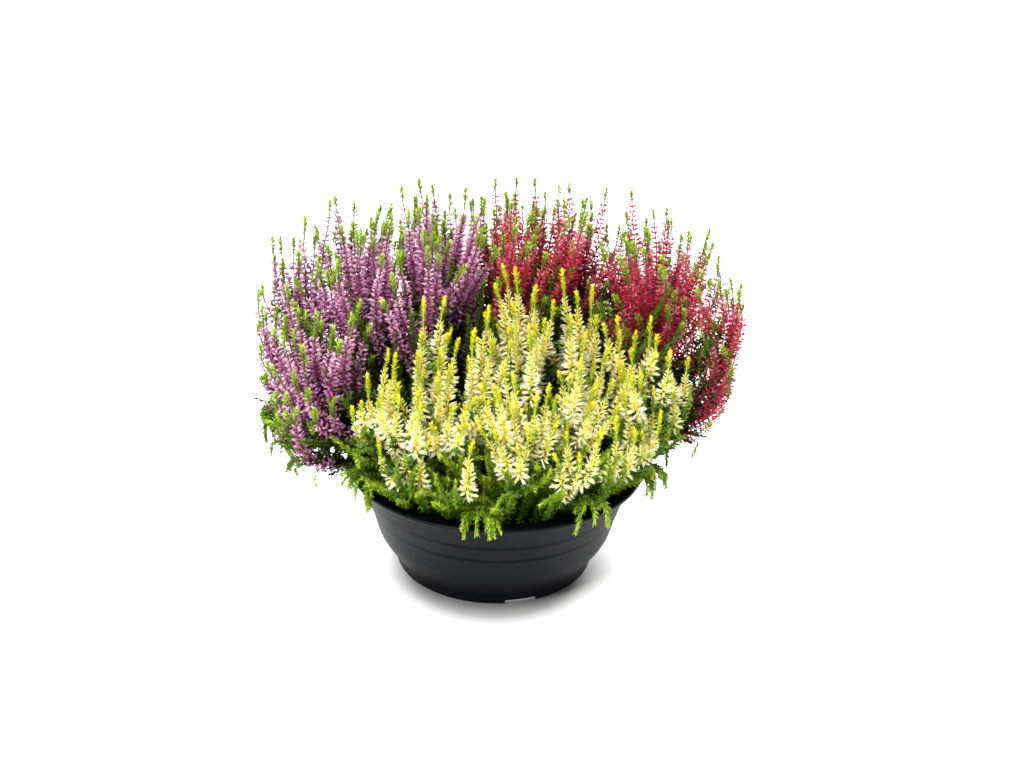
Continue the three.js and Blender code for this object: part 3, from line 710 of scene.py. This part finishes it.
def dress_tip(greens, line, start, look, rng):
    """Scale leaves that close up towards the tip of a shoot."""
    s, turn = whorls(np.arange(start, line.total - 0.4, LEAF_STEP), 4, rng, 0.12)
    u = np.clip((s - start) / (line.total - start), 0, 1)
    long, wide = look["tip_leaf"]
    lean = mix(*look["tip_lean"], u**1.6) * DEG + rng.normal(0, 0.16, len(s))
    length = long * np.interp(u, *TIP_CURVE) * rng.uniform(0.85, 1.15, len(s))
    dress_scales(greens, line, s, turn, lean, length, wide / long, mix(TIP_STAGE, 1, u), rng)


def dress_leafy(greens, line, start, rng, glow=LEAFY_GLOW, row=LEAFY_ROW):
    """Scale leaves all along a line, from low and dark to its lighter tip."""
    s, turn = whorls(np.arange(start, line.total - 0.5, row), 4, rng, 0.25)
    u = s / line.total
    lean = mix(*LEAFY_LEAN, u**2) * DEG + rng.normal(0, 0.14, len(s))
    length = np.interp(u, *LEAFY_CURVE) * (row / LEAFY_ROW) ** 0.6
    length = length * rng.uniform(0.7, 1.15, len(s))
    dress_scales(greens, line, s, turn, lean, length, 0.4, mix(*glow, u), rng)


def dress_flowers(flowers, greens, spray, shoot, line, forms, rng):
    """Florets and the leafy tip above them; gives the length of the bare part below."""
    look = FLORETS[spray.kind]
    head = min(rng.uniform(*look["head"]), HEAD_SHARE * shoot.bloom)
    neck = rng.uniform(*look["neck"])
    low, top = bloom_start(spray.kind, shoot, line), line.total - head - neck
    s, turn = whorls(np.arange(low + 1, top, look["step"]), look["per"], rng, 0.16)
    count = len(s)
    u = np.clip((s - low) / (top - low), 0, 1)
    length = mix(*look["size"], np.interp(u, [0, look["full"], 1], [0, 0.15, 1]))
    length = length * np.interp(u, [0, 0.12, 1], [0.8, 1, 1]) * rng.uniform(0.82, 1.16, count)
    lean = mix(*look["lean"], u) * DEG + rng.normal(0, 0.15, count)
    origin, axis, side = leaning(line, s, turn, lean, FLORET_OUT)
    roll = rng.uniform(0, math.tau, count)[:, None]
    side = swing(side, np.cross(axis, side), roll)
    width = length * look["girth"] * rng.uniform(0.85, 1.2, count)
    pick = 0.65 * rng.uniform(0, 1, count) + 0.35 * rng.uniform(0, 1)
    fine = (u > FINE_FROM) & (shoot.tall > FINE_TALL and spray.kind != "white")
    for form, chosen in zip(forms, (fine, ~fine)):
        if chosen.any():
            flowers.stamp(form, *(v[chosen] for v in (origin, axis, side, length, width, pick, u)))
    dress_tip(greens, line, top, look, rng)
    return low


def dress_stem(greens, spray, shoot, line, rng, top):
    """The woody stem, with the stage of its tip; a main stem starts at its root."""
    is_main = shoot is spray.shoots[0]
    keep = np.linspace(0, len(line.s) - 1, max(6, len(line.s) // 3 + 1)).astype(int)
    p, side, s = line.p[keep], line.side[keep], line.s[keep]
    slimmer = np.clip(s / (line.total * 0.92), 0, 1) ** 0.8
    thick = STEM_SLIM * mix(STEM_R if is_main else TWIG_R, 0.5, slimmer)
    thick[-1] = STEM_END
    if is_main:
        root = np.array([[p[0, 0], p[0, 1], ROOT_Z]])
        p, side = np.concatenate([root, p]), np.concatenate([side[:1], side])
        thick, s = np.concatenate([thick[:1], thick]), np.concatenate([[0], s])
    greens.tube(p, side, thick, STEM_SIDES, rng.uniform(0, 1), top * s / line.total)


def dress_sprigs(greens, step, bare, line, rng):
    """Short leafy twigs along the bare part of a shoot."""
    count = int(bare / step)
    if count < 1:
        return
    up = np.array([0, 0, 1.0])
    p, axis, side, third = line.at(rng.uniform(*SPRIG_PLACE, count) * bare)
    turn = rng.uniform(0, math.tau, count)[:, None]
    length = rng.uniform(*SPRIG_LENGTH, count)
    start = unit(axis * 0.5 + side * np.cos(turn) + third * np.sin(turn) + 0.6 * up)
    chord = length[:, None] * (start + SPRIG_RISE * up)
    stands = p[:, 2] > SOIL_Z + TWIG_LOW
    greens.stamp(
        STALK, p[stands], unit(chord)[stands], unit(np.cross(chord, side))[stands],
        np.linalg.norm(chord, axis=1)[stands], 0.5, rng.uniform(0, 1, int(stands.sum())), 0.25, 1.0,
    )
    v = (np.arange(SPRIG_ROWS) + 0.5) / SPRIG_ROWS
    run, rise = length[:, None] * v, SPRIG_RISE * length[:, None] * v**2
    centre = p[:, None] + run[:, :, None] * start[:, None] + rise[:, :, None] * up
    path = unit(start[:, None] + 2 * SPRIG_RISE * v[:, None] * up)
    flat = unit(np.cross(path, up) + 1e-6)
    other = np.cross(path, flat)
    height = centre[:, :, 2] - SOIL_Z
    chosen = ((v * SPRIG_LENGTH[1] <= length[:, None]) | (v < 0.6)) & (height > TWIG_LOW)
    # twigs low in the plant take darker leaf colours: partly older foliage, partly painted shade
    stage = (np.clip(height / 200, 0, 1) * 0.55 + 0.25 * v)[chosen]
    for k in range(SPRIG_PER):
        angle = (2 * k + np.arange(SPRIG_ROWS)) * math.pi / SPRIG_PER
        angle = (angle + rng.normal(0, 0.25, height.shape))[:, :, None]
        away = swing(flat, other, angle)
        lean = (mix(*SPRIG_LEAN, v**2) * DEG + rng.normal(0, 0.12, height.shape))[:, :, None]
        direction = swing(path, away, lean)
        size = SPRIG_LEAF[0] * rng.uniform(0.75, 1.15, height.shape)[chosen]
        greens.stamp(
            LEAF, centre[chosen], direction[chosen], unit(np.cross(path, away))[chosen], size,
            size * SPRIG_LEAF[1] / SPRIG_LEAF[0], rng.uniform(0, 1, len(size)), stage,
        )


def dress_tuft(greens, points, az, rng, look):
    line = Line(points, az, rng)
    thick = np.linspace(*TUFT_STEM, len(line.s))
    greens.tube(line.p, line.side, thick, 3, rng.uniform(0, 1), np.linspace(0.1, 0.5, len(line.s)))
    dress_leafy(greens, line, TUFT_BARE, rng, look["glow"], look["row"])


def dress_shoot(flowers, greens, spray, shoot, forms, rng):
    line = line_of(spray, shoot, rng)
    is_main = shoot is spray.shoots[0]
    lies = line.total - rises_at(spray.kind, line) < LEAST_BLOOM
    leafy = spray.leafy or shoot.leafy or (lies and spray.kind == "white" and not is_main)
    dress_stem(greens, spray, shoot, line, rng, LEAFY_STEM if leafy else 1.0)
    if leafy:
        dress_leafy(greens, line, LEAFY_BARE[is_main], rng)
    else:
        bare = dress_flowers(flowers, greens, spray, shoot, line, forms, rng)
        outer = math.hypot(shoot.x, shoot.y) > SPRIG_EDGE
        dress_sprigs(greens, SPRIG_STEP[spray.kind][outer], bare, line, rng)


def dress_spray(spray, number, looks):
    rng = np.random.default_rng(DRESS_SEED + number)
    flowers, greens = Skin(), Skin()
    opening = FLORETS[spray.kind]["open"] / FLORETS[spray.kind]["girth"]
    forms = floret_form(opening, True), floret_form(opening, False)
    for shoot in spray.shoots:
        dress_shoot(flowers, greens, spray, shoot, forms, rng)
    for points in spray.tufts:
        az = math.atan2(spray.y, spray.x)
        dress_tuft(greens, points, az, rng, TUFT_LOOKS[spray.kind])
    title = "leaves" if spray.leafy else "greens"
    leaves = greens.build(f"{spray.name}_{title}", looks[f"{spray.kind}_leaf"])
    if spray.leafy:
        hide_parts(spray.name)
    else:
        blooms = flowers.build(f"{spray.name}_florets", looks[f"{spray.kind}_flower"])
        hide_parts(spray.name)
        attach(blooms, "root")
    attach(leaves, "root")


# ---- Materials
def ink(code):
    """A colour as the screen shows it, as linear light."""
    parts = [int(code[i : i + 2], 16) / 255 for i in (0, 2, 4)]
    return [c / 12.92 if c <= 0.04045 else ((c + 0.055) / 1.055) ** 2.4 for c in parts] + [1.0]


class Graph:
    """A material with one Principled shader and short calls for its nodes."""

    def __init__(self, name):
        self.mat = bpy.data.materials.new(name)
        self.mat.use_nodes = True
        self.nodes, self.links = self.mat.node_tree.nodes, self.mat.node_tree.links
        self.nodes.clear()
        self.shader = self.nodes.new("ShaderNodeBsdfPrincipled")
        output = self.nodes.new("ShaderNodeOutputMaterial")
        self.links.new(self.shader.outputs["BSDF"], output.inputs["Surface"])

    def plug(self, node, **values):
        """Sets or links the sockets of a node; an underscore stands for a space."""
        for title, value in values.items():
            socket = node.inputs[title.replace("_", " ")]
            if isinstance(value, bpy.types.NodeSocket):
                self.links.new(value, socket)
            else:
                socket.default_value = value
        return node

    def node(self, sort, **values):
        return self.plug(self.nodes.new(f"ShaderNode{sort}"), **values)

    def place(self):
        return self.node("TexCoord").outputs["Object"]

    def value(self, title):
        node = self.node("Attribute")
        node.attribute_name = title
        return node.outputs["Fac"]

    def ramp(self, value, stops):
        node = self.node("ValToRGB", Fac=value)
        while len(node.color_ramp.elements) < len(stops):
            node.color_ramp.elements.new(0.5)
        for element, (place, colour) in zip(node.color_ramp.elements, stops):
            element.position = place
            element.color = ink(colour) if isinstance(colour, str) else [colour] * 3 + [1]
        return node.outputs["Color"]

    def blend(self, kind, factor, a, b):
        node = self.node("Mix")
        node.data_type, node.blend_type = "RGBA", kind
        return self.plug(node, Factor=factor, A=a, B=b).outputs["Result"]

    def over(self, mask, colour, code):
        """The colour with another one over it, as the mask says."""
        return self.blend("MIX", mask, colour, ink(code))

    def shade(self, colour, value, stops):
        """The colour times a grey ramp."""
        return self.blend("MULTIPLY", 1.0, colour, self.ramp(value, stops))

    def noise(self, scale, detail, rough=0.55):
        sockets = dict(Scale=scale, Detail=detail, Roughness=rough)
        return self.node("TexNoise", Vector=self.place(), **sockets).outputs["Fac"]

    def measure(self, operation, vector):
        """The distance of the place in the object from a point, or its dot product."""
        node = self.node("VectorMath")
        node.operation = operation
        self.links.new(self.place(), node.inputs[0])
        node.inputs[1].default_value = vector
        return node.outputs["Value"]

    def spread(self, value, low, high):
        return self.node("MapRange", Value=value, To_Min=low, To_Max=high).outputs["Result"]

    def bump(self, height, strength, distance):
        node = self.node("Bump", Strength=strength, Distance=distance, Height=height)
        self.plug(self.shader, Normal=node.outputs["Normal"])

    def finish(self, colour, roughness, specular=0.5):
        values = dict(Base_Color=colour, Roughness=roughness, Specular_IOR_Level=specular)
        self.plug(self.shader, **values)
        return self.mat


# Florets from the foot of a spike to its top, the tips and the bases of all of them, and the
# palest and the deepest ones.
# The bases are partly the florets' own colour and partly painted shade deep in the spike: dark for
# the mauve and crimson, yellow-green for the white.
FLOWER_INKS = {
    "purple": (["74225e", "b84a98", "d880be", "f0c2de"], "fbd6ee", "3c1722", "feeaf7", "5e1a48"),
    "red": (["8a0a2e", "c81746", "da3a60", "e88e9c"], "e8587c", "480e18", "f4a4b4", "7c082c"),
    "white": (["fffae2", "fff7c6", "faf07e", "efe73a"], "fffef4", "e8dc2e", "fffffa", "f7eb88"),
}
# Leaves from the lowest to the tips, and the wood low and high.
# The lowest leaves are the darkest: partly the old foliage's own colour, partly painted shade inside
# the plant.
LEAF_INKS = {
    "purple": (["1e2a0c", "405c18", "7c9a2c", "a8c840"], ["30200f", "745a36"]),
    "red": (["232f0f", "425c1b", "78982c", "a4c23e"], ["3c1e16", "6e663c"]),
    "white": (["28420c", "5c8424", "a8bf34", "f0e33a"], ["47651a", "eae460"]),
}


def flower_look(kind):
    body, tips, bases_and_painted_shade, palest, deepest = FLOWER_INKS[kind]
    g = Graph(f"{kind}_florets")
    pick, along_floret = g.value("pick"), g.value("along")
    white = kind == "white"
    tip = g.ramp(along_floret, [(0.45, 0.0), (0.92, 0.8 if white else 0.55)])
    # floret bases: partly own colour, partly painted shade where the florets crowd the stem
    base = g.ramp(along_floret, [(0.12, 1.0), (0.52, 0.0)] if white else [(0.0, 0.9), (0.42, 0.0)])
    colour = g.ramp(g.value("stage"), list(zip((0.0, 0.35, 0.75, 1.0), body)))
    colour = g.over(g.ramp(pick, [(0.62, 0.0), (0.95, 0.6)]), colour, palest)
    colour = g.over(g.ramp(pick, [(0.08, 0.85), (0.42, 0.0)]), colour, deepest)
    colour = g.over(base, g.over(tip, colour, tips), bases_and_painted_shade)
    colour = g.shade(colour, g.noise(900, 3), [(0.3, 0.82), (0.7, 1.0)])
    return g.finish(colour, g.spread(g.noise(600, 2), 0.45, 0.75), 0.35)


def leaf_look(kind):
    leaves, wood = LEAF_INKS[kind]
    g = Graph(f"{kind}_leaves")
    stage = g.value("stage")
    colour = g.ramp(stage, list(zip((0.05, 0.35, 0.72, 0.98), leaves)))
    colour = g.shade(colour, g.value("pick"), [(0.0, 0.68), (1.0, 1.12)])
    colour = g.shade(colour, g.value("along"), [(0.0, 0.7), (0.5, 1.0)])
    bark = g.ramp(stage, [(0.3, wood[0]), (0.75, wood[1])])
    bark = g.shade(bark, g.noise(700, 5), [(0.3, 0.65), (0.7, 1.1)])
    colour = g.blend("MIX", g.value("wood"), colour, bark)
    return g.finish(colour, g.spread(g.noise(500, 2), 0.45, 0.8), 0.35)


def bowl_look():
    """Grained plastic that shines less at the two steps of the wall."""
    g = Graph("bowl_plastic")
    cloud, grain = g.noise(14, 4), g.noise(1800, 2, 0.7)
    colour = g.ramp(cloud, [(0.3, "08090c"), (0.7, "0c0d11")])
    colour = g.shade(colour, grain, [(0.35, 0.86), (0.65, 1.08)])
    g.bump(grain, 0.25, 0.00012)
    height = g.measure("DOT_PRODUCT", (0, 0, 10))  # in decimetres
    shine = [(0.465, 0.16), (0.49, 0.04), (0.515, 0.16), (0.595, 0.16), (0.618, 0.04), (0.645, 0.16)]
    return g.finish(colour, g.spread(cloud, 0.34, 0.5), g.ramp(height, shine))


def soil_look():
    g = Graph("peat")
    coarse, fine = g.noise(140, 6, 0.7), g.noise(900, 4, 0.7)
    colour = g.ramp(coarse, [(0.3, "15100b"), (0.5, "2a1f16"), (0.72, "46362a")])
    colour = g.shade(colour, fine, [(0.3, 0.6), (0.7, 1.25)])
    g.bump(coarse, 0.8, 0.0015)
    return g.finish(colour, g.spread(fine, 0.8, 1.0))


def floor_look():
    """White that glows as painted light, except near the foot, where a ramp paints a contact shadow
    into the colour; under the bowl a painted glow lights the floor seen through the notches.
    """
    g = Graph("pale_floor")
    cloud = g.noise(3, 3)
    colour = g.ramp(cloud, [(0.3, "dedede"), (0.7, "e4e4e4")])
    # painted contact shadow: the floor's colour darkens towards the foot
    near = g.measure("DISTANCE", (0, -0.012, 0))
    colour = g.shade(colour, near, [(0.066, 0.22), (0.083, 0.65), (0.102, 1.0)])
    # painted light: the floor glows more the farther it lies from the foot, so shadows fade out away
    # from it
    glow = g.ramp(g.measure("DISTANCE", (0, -0.03, 0)), [(0.062, 0.0), (0.08, 0.38), (0.11, 0.95)])
    # painted glow under the bowl, so the floor seen through the notches looks light
    glow_under_bowl = g.ramp(g.measure("DISTANCE", (0, 0, 0)), [(0.071, 0.32), (0.0745, 0.0)])
    light = g.blend("ADD", 1.0, glow, glow_under_bowl)
    g.plug(g.shader, Emission_Color=(1, 1, 1, 1), Emission_Strength=light)
    return g.finish(colour, g.spread(cloud, 0.6, 0.7))


# ---- Bowl and soil
def inside_of():
    """Inside of the wall: heights and radii, from the floor up."""
    radii, heights = zip(*OUTSIDE)
    rows = [(z, float(np.interp(z, heights, radii)) - WALL) for z in INSIDE_Z]
    return rows + [(RIM_Z - LIP_DIP, LIP_IN_R)]


def bowl_outline():
    wall = [(r, z) for z, r in reversed(inside_of())]
    lip = [(RIM_R - 1.2, 82), (RIM_R, 83.6), (RIM_R - 0.6, RIM_Z), (LIP_IN_R + 1, RIM_Z)]
    bottom = [(MIDDLE_HOLE_R, FLOOR_Z + FLOOR_T), (MIDDLE_HOLE_R, FLOOR_Z)]
    return [(FOOT_IN_R, 0)] + OUTSIDE + lip + wall + bottom + [(FOOT_IN_R - 1, FLOOR_Z)]


def softened(outline, reach):
    """The closed outline with each corner rounded off in four steps."""
    points, rounded = np.array(outline, float), []
    for before, corner, after in zip(np.roll(points, 1, 0), points, np.roll(points, -1, 0)):
        a, b = (
            corner + min(reach, 0.4 * np.linalg.norm(end - corner)) * unit(end - corner)
            for end in (before, after)
        )
        for t in np.linspace(0, 1, 5):
            rounded.append((1 - t) ** 2 * a + 2 * t * (1 - t) * corner + t * t * b)
    return rounded


def mesh_object(name, points, faces):
    """A mesh with its points in millimetres."""
    mesh = bpy.data.meshes.new(name)
    mesh.from_pydata((np.array(points, float) * MM).tolist(), [], faces)
    mesh.validate()
    return put(name, mesh)


def bands(rows, sides):
    """Faces that join each ring of points with the next."""
    return [
        (i * sides + j, i * sides + (j + 1) % sides, n * sides + (j + 1) % sides, n * sides + j)
        for i, n in rows for j in range(sides)
    ]


def turned(name, outline, sides):
    """A closed outline turned round the Z axis."""
    count = len(outline)
    turns = [math.tau * j / sides for j in range(sides)]
    points = [(*polar(r, az), z) for r, z in outline for az in turns]
    return mesh_object(name, points, bands([(i, (i + 1) % count) for i in range(count)], sides))


def prism(name, outline, heights, place):
    """An upright prism over an outline, moved by a matrix."""
    count = len(outline)
    points = [(x, y, z) for z in heights for x, y in outline]
    ends = [tuple(reversed(range(count))), tuple(range(count, 2 * count))]
    obj = mesh_object(name, points, ends + bands([(0, 1)], count))
    obj.data.transform(place)
    return obj


def cut(obj, cutters):
    """Takes the cutters out of the object for good."""
    for cutter in cutters:
        tool = obj.modifiers.new("cut", "BOOLEAN")
        tool.operation, tool.solver, tool.object = "DIFFERENCE", "EXACT", cutter
    graph = bpy.context.evaluated_depsgraph_get()
    mesh = bpy.data.meshes.new_from_object(obj.evaluated_get(graph))
    obj.modifiers.clear()
    obj.data = mesh
    for cutter in cutters:
        bpy.data.objects.remove(cutter)


def smooth(obj, angle=35):
    obj.data.polygons.foreach_set("use_smooth", np.ones(len(obj.data.polygons), bool))
    obj.data.set_sharp_from_angle(angle=angle * DEG)


def notch_outline():
    """Section of a drainage notch: flat below, with rounded upper corners."""
    half, top, r = NOTCH_W / 2, NOTCH_H, NOTCH_ROUND
    points = [(-half, -1.0), (half, -1.0)]
    for middle, start in ((half - r, 0), (r - half, 90)):
        for k in range(5):
            x, y = polar(r, (start + 22.5 * k) * DEG)
            points.append((middle + x, top - r + y))
    return points


def shifted(r, az):
    x, y = polar(r * MM, az)
    return Matrix.Translation((x, y, 0))


def make_bowl():
    bowl = turned("planter_bowl", softened(bowl_outline(), BOWL_SOFTEN), BOWL_SIDES)
    cutters = []
    for i in range(NOTCHES):
        az = NOTCH_AZ + i * math.tau / NOTCHES
        turn = Matrix.Rotation(az + 90 * DEG, 4, "Z") @ Matrix.Rotation(90 * DEG, 4, "X")
        place = shifted((FOOT_R + FOOT_IN_R) / 2, az) @ turn
        cutters.append(prism(f"notch_{i}", notch_outline(), NOTCH_CUT, place))
    ring = [polar(HOLE_R, math.tau * k / HOLE_SIDES) for k in range(HOLE_SIDES)]
    for i in range(HOLES):
        az = NOTCH_AZ + (i + 0.5) * math.tau / HOLES
        cutters.append(prism(f"hole_{i}", ring, HOLE_CUT, shifted(HOLE_RING_R, az)))
    cut(bowl, cutters)
    smooth(bowl)
    bowl.data.materials.append(bowl_look())
    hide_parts("bowl")
    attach(bowl, "root")


def ripple(x, y):
    """Uneven height of the peat, within the bumps of the CAD soil."""
    r, az = np.hypot(x, y), np.arctan2(y, x)
    wave = np.sin(r * 0.23 + 3 * az) * np.cos(5 * az - r * 0.11)
    fine = np.sin(x * 0.9 + 1.3 * np.sin(y * 0.7)) * np.sin(y * 0.8 + 1.1 * np.sin(x * 0.6))
    return SOIL_BUMP * (0.6 * wave + 0.8 * fine)


def make_soil():
    heights, radii = zip(*inside_of())

    def edge_at(z):
        return float(np.interp(z, heights, radii)) - SOIL_EDGE

    edge = edge_at(SOIL_Z)
    turns = [math.tau * j / SOIL_SIDES for j in range(SOIL_SIDES)]
    points = []
    for z in (FLOOR_Z + FLOOR_T + SOIL_EDGE, *INSIDE_Z[1:]):
        points += [(*polar(edge_at(z), az), z) for az in turns]
    for i in range(SOIL_RINGS):
        for az in turns:
            x, y = polar(edge * (1 - i / SOIL_RINGS) ** 0.8, az)
            points.append((x, y, SOIL_Z + float(ripple(x, y))))
    count = len(points)
    faces = bands([(i, i + 1) for i in range(count // SOIL_SIDES - 1)], SOIL_SIDES)
    faces.append(tuple(reversed(range(SOIL_SIDES))))
    faces.append(tuple(range(count - SOIL_SIDES, count)))
    soil = mesh_object("peat", points, faces)
    smooth(soil, 60)
    soil.data.materials.append(soil_look())
    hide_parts("soil")
    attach(soil, "root")
    make_crumbs(edge, soil.data.materials[0])


def make_crumbs(edge, look):
    """Loose crumbs of peat and bark on the soil: uneven octahedra."""
    rng = np.random.default_rng(CRUMB_SEED)
    corners = np.array([(1, 0, 0), (-1, 0, 0), (0, 1, 0), (0, -1, 0), (0, 0, 1), (0, 0, -1)], float)
    sides = np.array([
        (0, 2, 4), (2, 1, 4), (1, 3, 4), (3, 0, 4), (2, 0, 5), (1, 2, 5), (3, 1, 5), (0, 3, 5),
    ])
    r = (edge - 3) * np.sqrt(rng.uniform(0.02, 1, CRUMBS))
    az = rng.uniform(0, math.tau, CRUMBS)
    x, y = r * np.cos(az), r * np.sin(az)
    size = rng.uniform(0.5, 1.7, CRUMBS)
    stretch = rng.uniform(0.5, 1.6, (CRUMBS, 3)) * size[:, None]
    jitter = rng.uniform(0.7, 1.3, (CRUMBS, 6, 3))
    spin = rng.uniform(0, math.tau, CRUMBS)[:, None]
    across_x, across_y, up = np.moveaxis(corners[None] * jitter * stretch[:, None], 2, 0)
    points = np.stack([
        x[:, None] + across_x * np.cos(spin) - across_y * np.sin(spin),
        y[:, None] + across_x * np.sin(spin) + across_y * np.cos(spin),
        (SOIL_Z + ripple(x, y) + 0.3 * size)[:, None] + 0.6 * up,
    ], axis=2)
    faces = sides[None] + (np.arange(CRUMBS) * 6)[:, None, None]
    crumbs = mesh_object("peat_crumbs", points.reshape(-1, 3), faces.reshape(-1, 3).tolist())
    crumbs.data.materials.append(look)
    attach(crumbs, "root")


# ---- Stage
FLOOR_HALF, FLOOR_DIP = 40_000, 0.4  # the floor lies this far under the foot
AIM = (0, 0, 0.14)  # what the lights point at
LIGHTS = {  # place, size and power
    "top": ((-0.1, 0.3, 2.1), 0.8, 48),
    "left": ((-0.8, -1.5, 2.0), 0.7, 72),
    "right": ((1.6, -1.2, 1.2), 1.2, 10),
}
SKY = [(0.15, 1.0), (0.24, 0.13)]  # height of a direction, and how bright the sky is there
LENS, SENSOR, DISTANCE, PITCH, ROLL = 64, 36, 1.423, 25.5 * DEG, 1.7 * DEG
AIM_Z, PAN, RISE = 0.045, 0.0107, 0.0931  # the camera looks past this height, moved aside and up


def make_floor():
    corners = [(-1, -1, 0), (1, -1, 0), (1, 1, 0), (-1, 1, 0)]
    floor = mesh_object("floor", np.array(corners) * FLOOR_HALF, [(0, 1, 2, 3)])
    floor.location.z = -FLOOR_DIP * MM
    floor.data.materials.append(floor_look())


def make_lights():
    for name, (place, size, power) in LIGHTS.items():
        data = bpy.data.lights.new(name, "AREA")
        data.shape, data.size, data.energy = "DISK", size, power
        lamp = put(name, data)
        lamp.location = place
        aim = Vector(AIM) - Vector(place)
        lamp.rotation_euler = aim.to_track_quat("-Z", "Y").to_euler()


def make_sky():
    world = bpy.data.worlds.new("studio")
    world.use_nodes = True
    nodes, links = world.node_tree.nodes, world.node_tree.links
    place, split = nodes.new("ShaderNodeTexCoord"), nodes.new("ShaderNodeSeparateXYZ")
    ramp = nodes.new("ShaderNodeValToRGB")
    for element, (height, light) in zip(ramp.color_ramp.elements, SKY):
        element.position, element.color = height, (light, light, light, 1)
    links.new(place.outputs["Generated"], split.inputs[0])
    links.new(split.outputs["Z"], ramp.inputs["Fac"])
    links.new(ramp.outputs["Color"], nodes["Background"].inputs["Color"])
    nodes["Background"].inputs["Strength"].default_value = 1.0
    bpy.context.scene.world = world
    bpy.context.scene.view_settings.view_transform = "Standard"
    bpy.context.scene.view_settings.look = "Medium High Contrast"


def make_camera():
    data = bpy.data.cameras.new("camera")
    data.lens, data.sensor_width = LENS, SENSOR
    ahead = Vector((0, math.cos(PITCH), -math.sin(PITCH)))
    up = Vector((0, math.sin(PITCH), math.cos(PITCH)))
    right = Vector((1, 0, 0))
    place = -DISTANCE * ahead + Vector((0, 0, AIM_Z)) + PAN * right + RISE * up
    turn = Matrix((right, up, -ahead)).transposed().to_4x4()
    camera = put("camera", data)
    camera.matrix_world = Matrix.Translation(place) @ turn @ Matrix.Rotation(ROLL, 4, "Z")
    bpy.context.scene.camera = camera


# ---- Assembly
make_camera()
make_lights()
make_sky()
make_floor()
make_bowl()
make_soil()

crowd = Crowd()
growth_draw = make_draw(GROWTH_SEED)
flowering = grow_sprays(crowd, growth_draw)
fringe = grow_fringe(crowd, growth_draw)
name_sprays(flowering + fringe)
fill_in(flowering, fringe, crowd)
for spray in flowering:
    spray.foot = point_at(spray, spray.shoots[0], 0.0)[:2]
plant_tufts(flowering, np.random.default_rng(TUFT_SEED))

looks = {f"{kind}_flower": flower_look(kind) for kind in PLANTS}
looks.update({f"{kind}_leaf": leaf_look(kind) for kind in PLANTS})
for number, spray in enumerate(flowering + fringe):
    dress_spray(spray, number, looks)
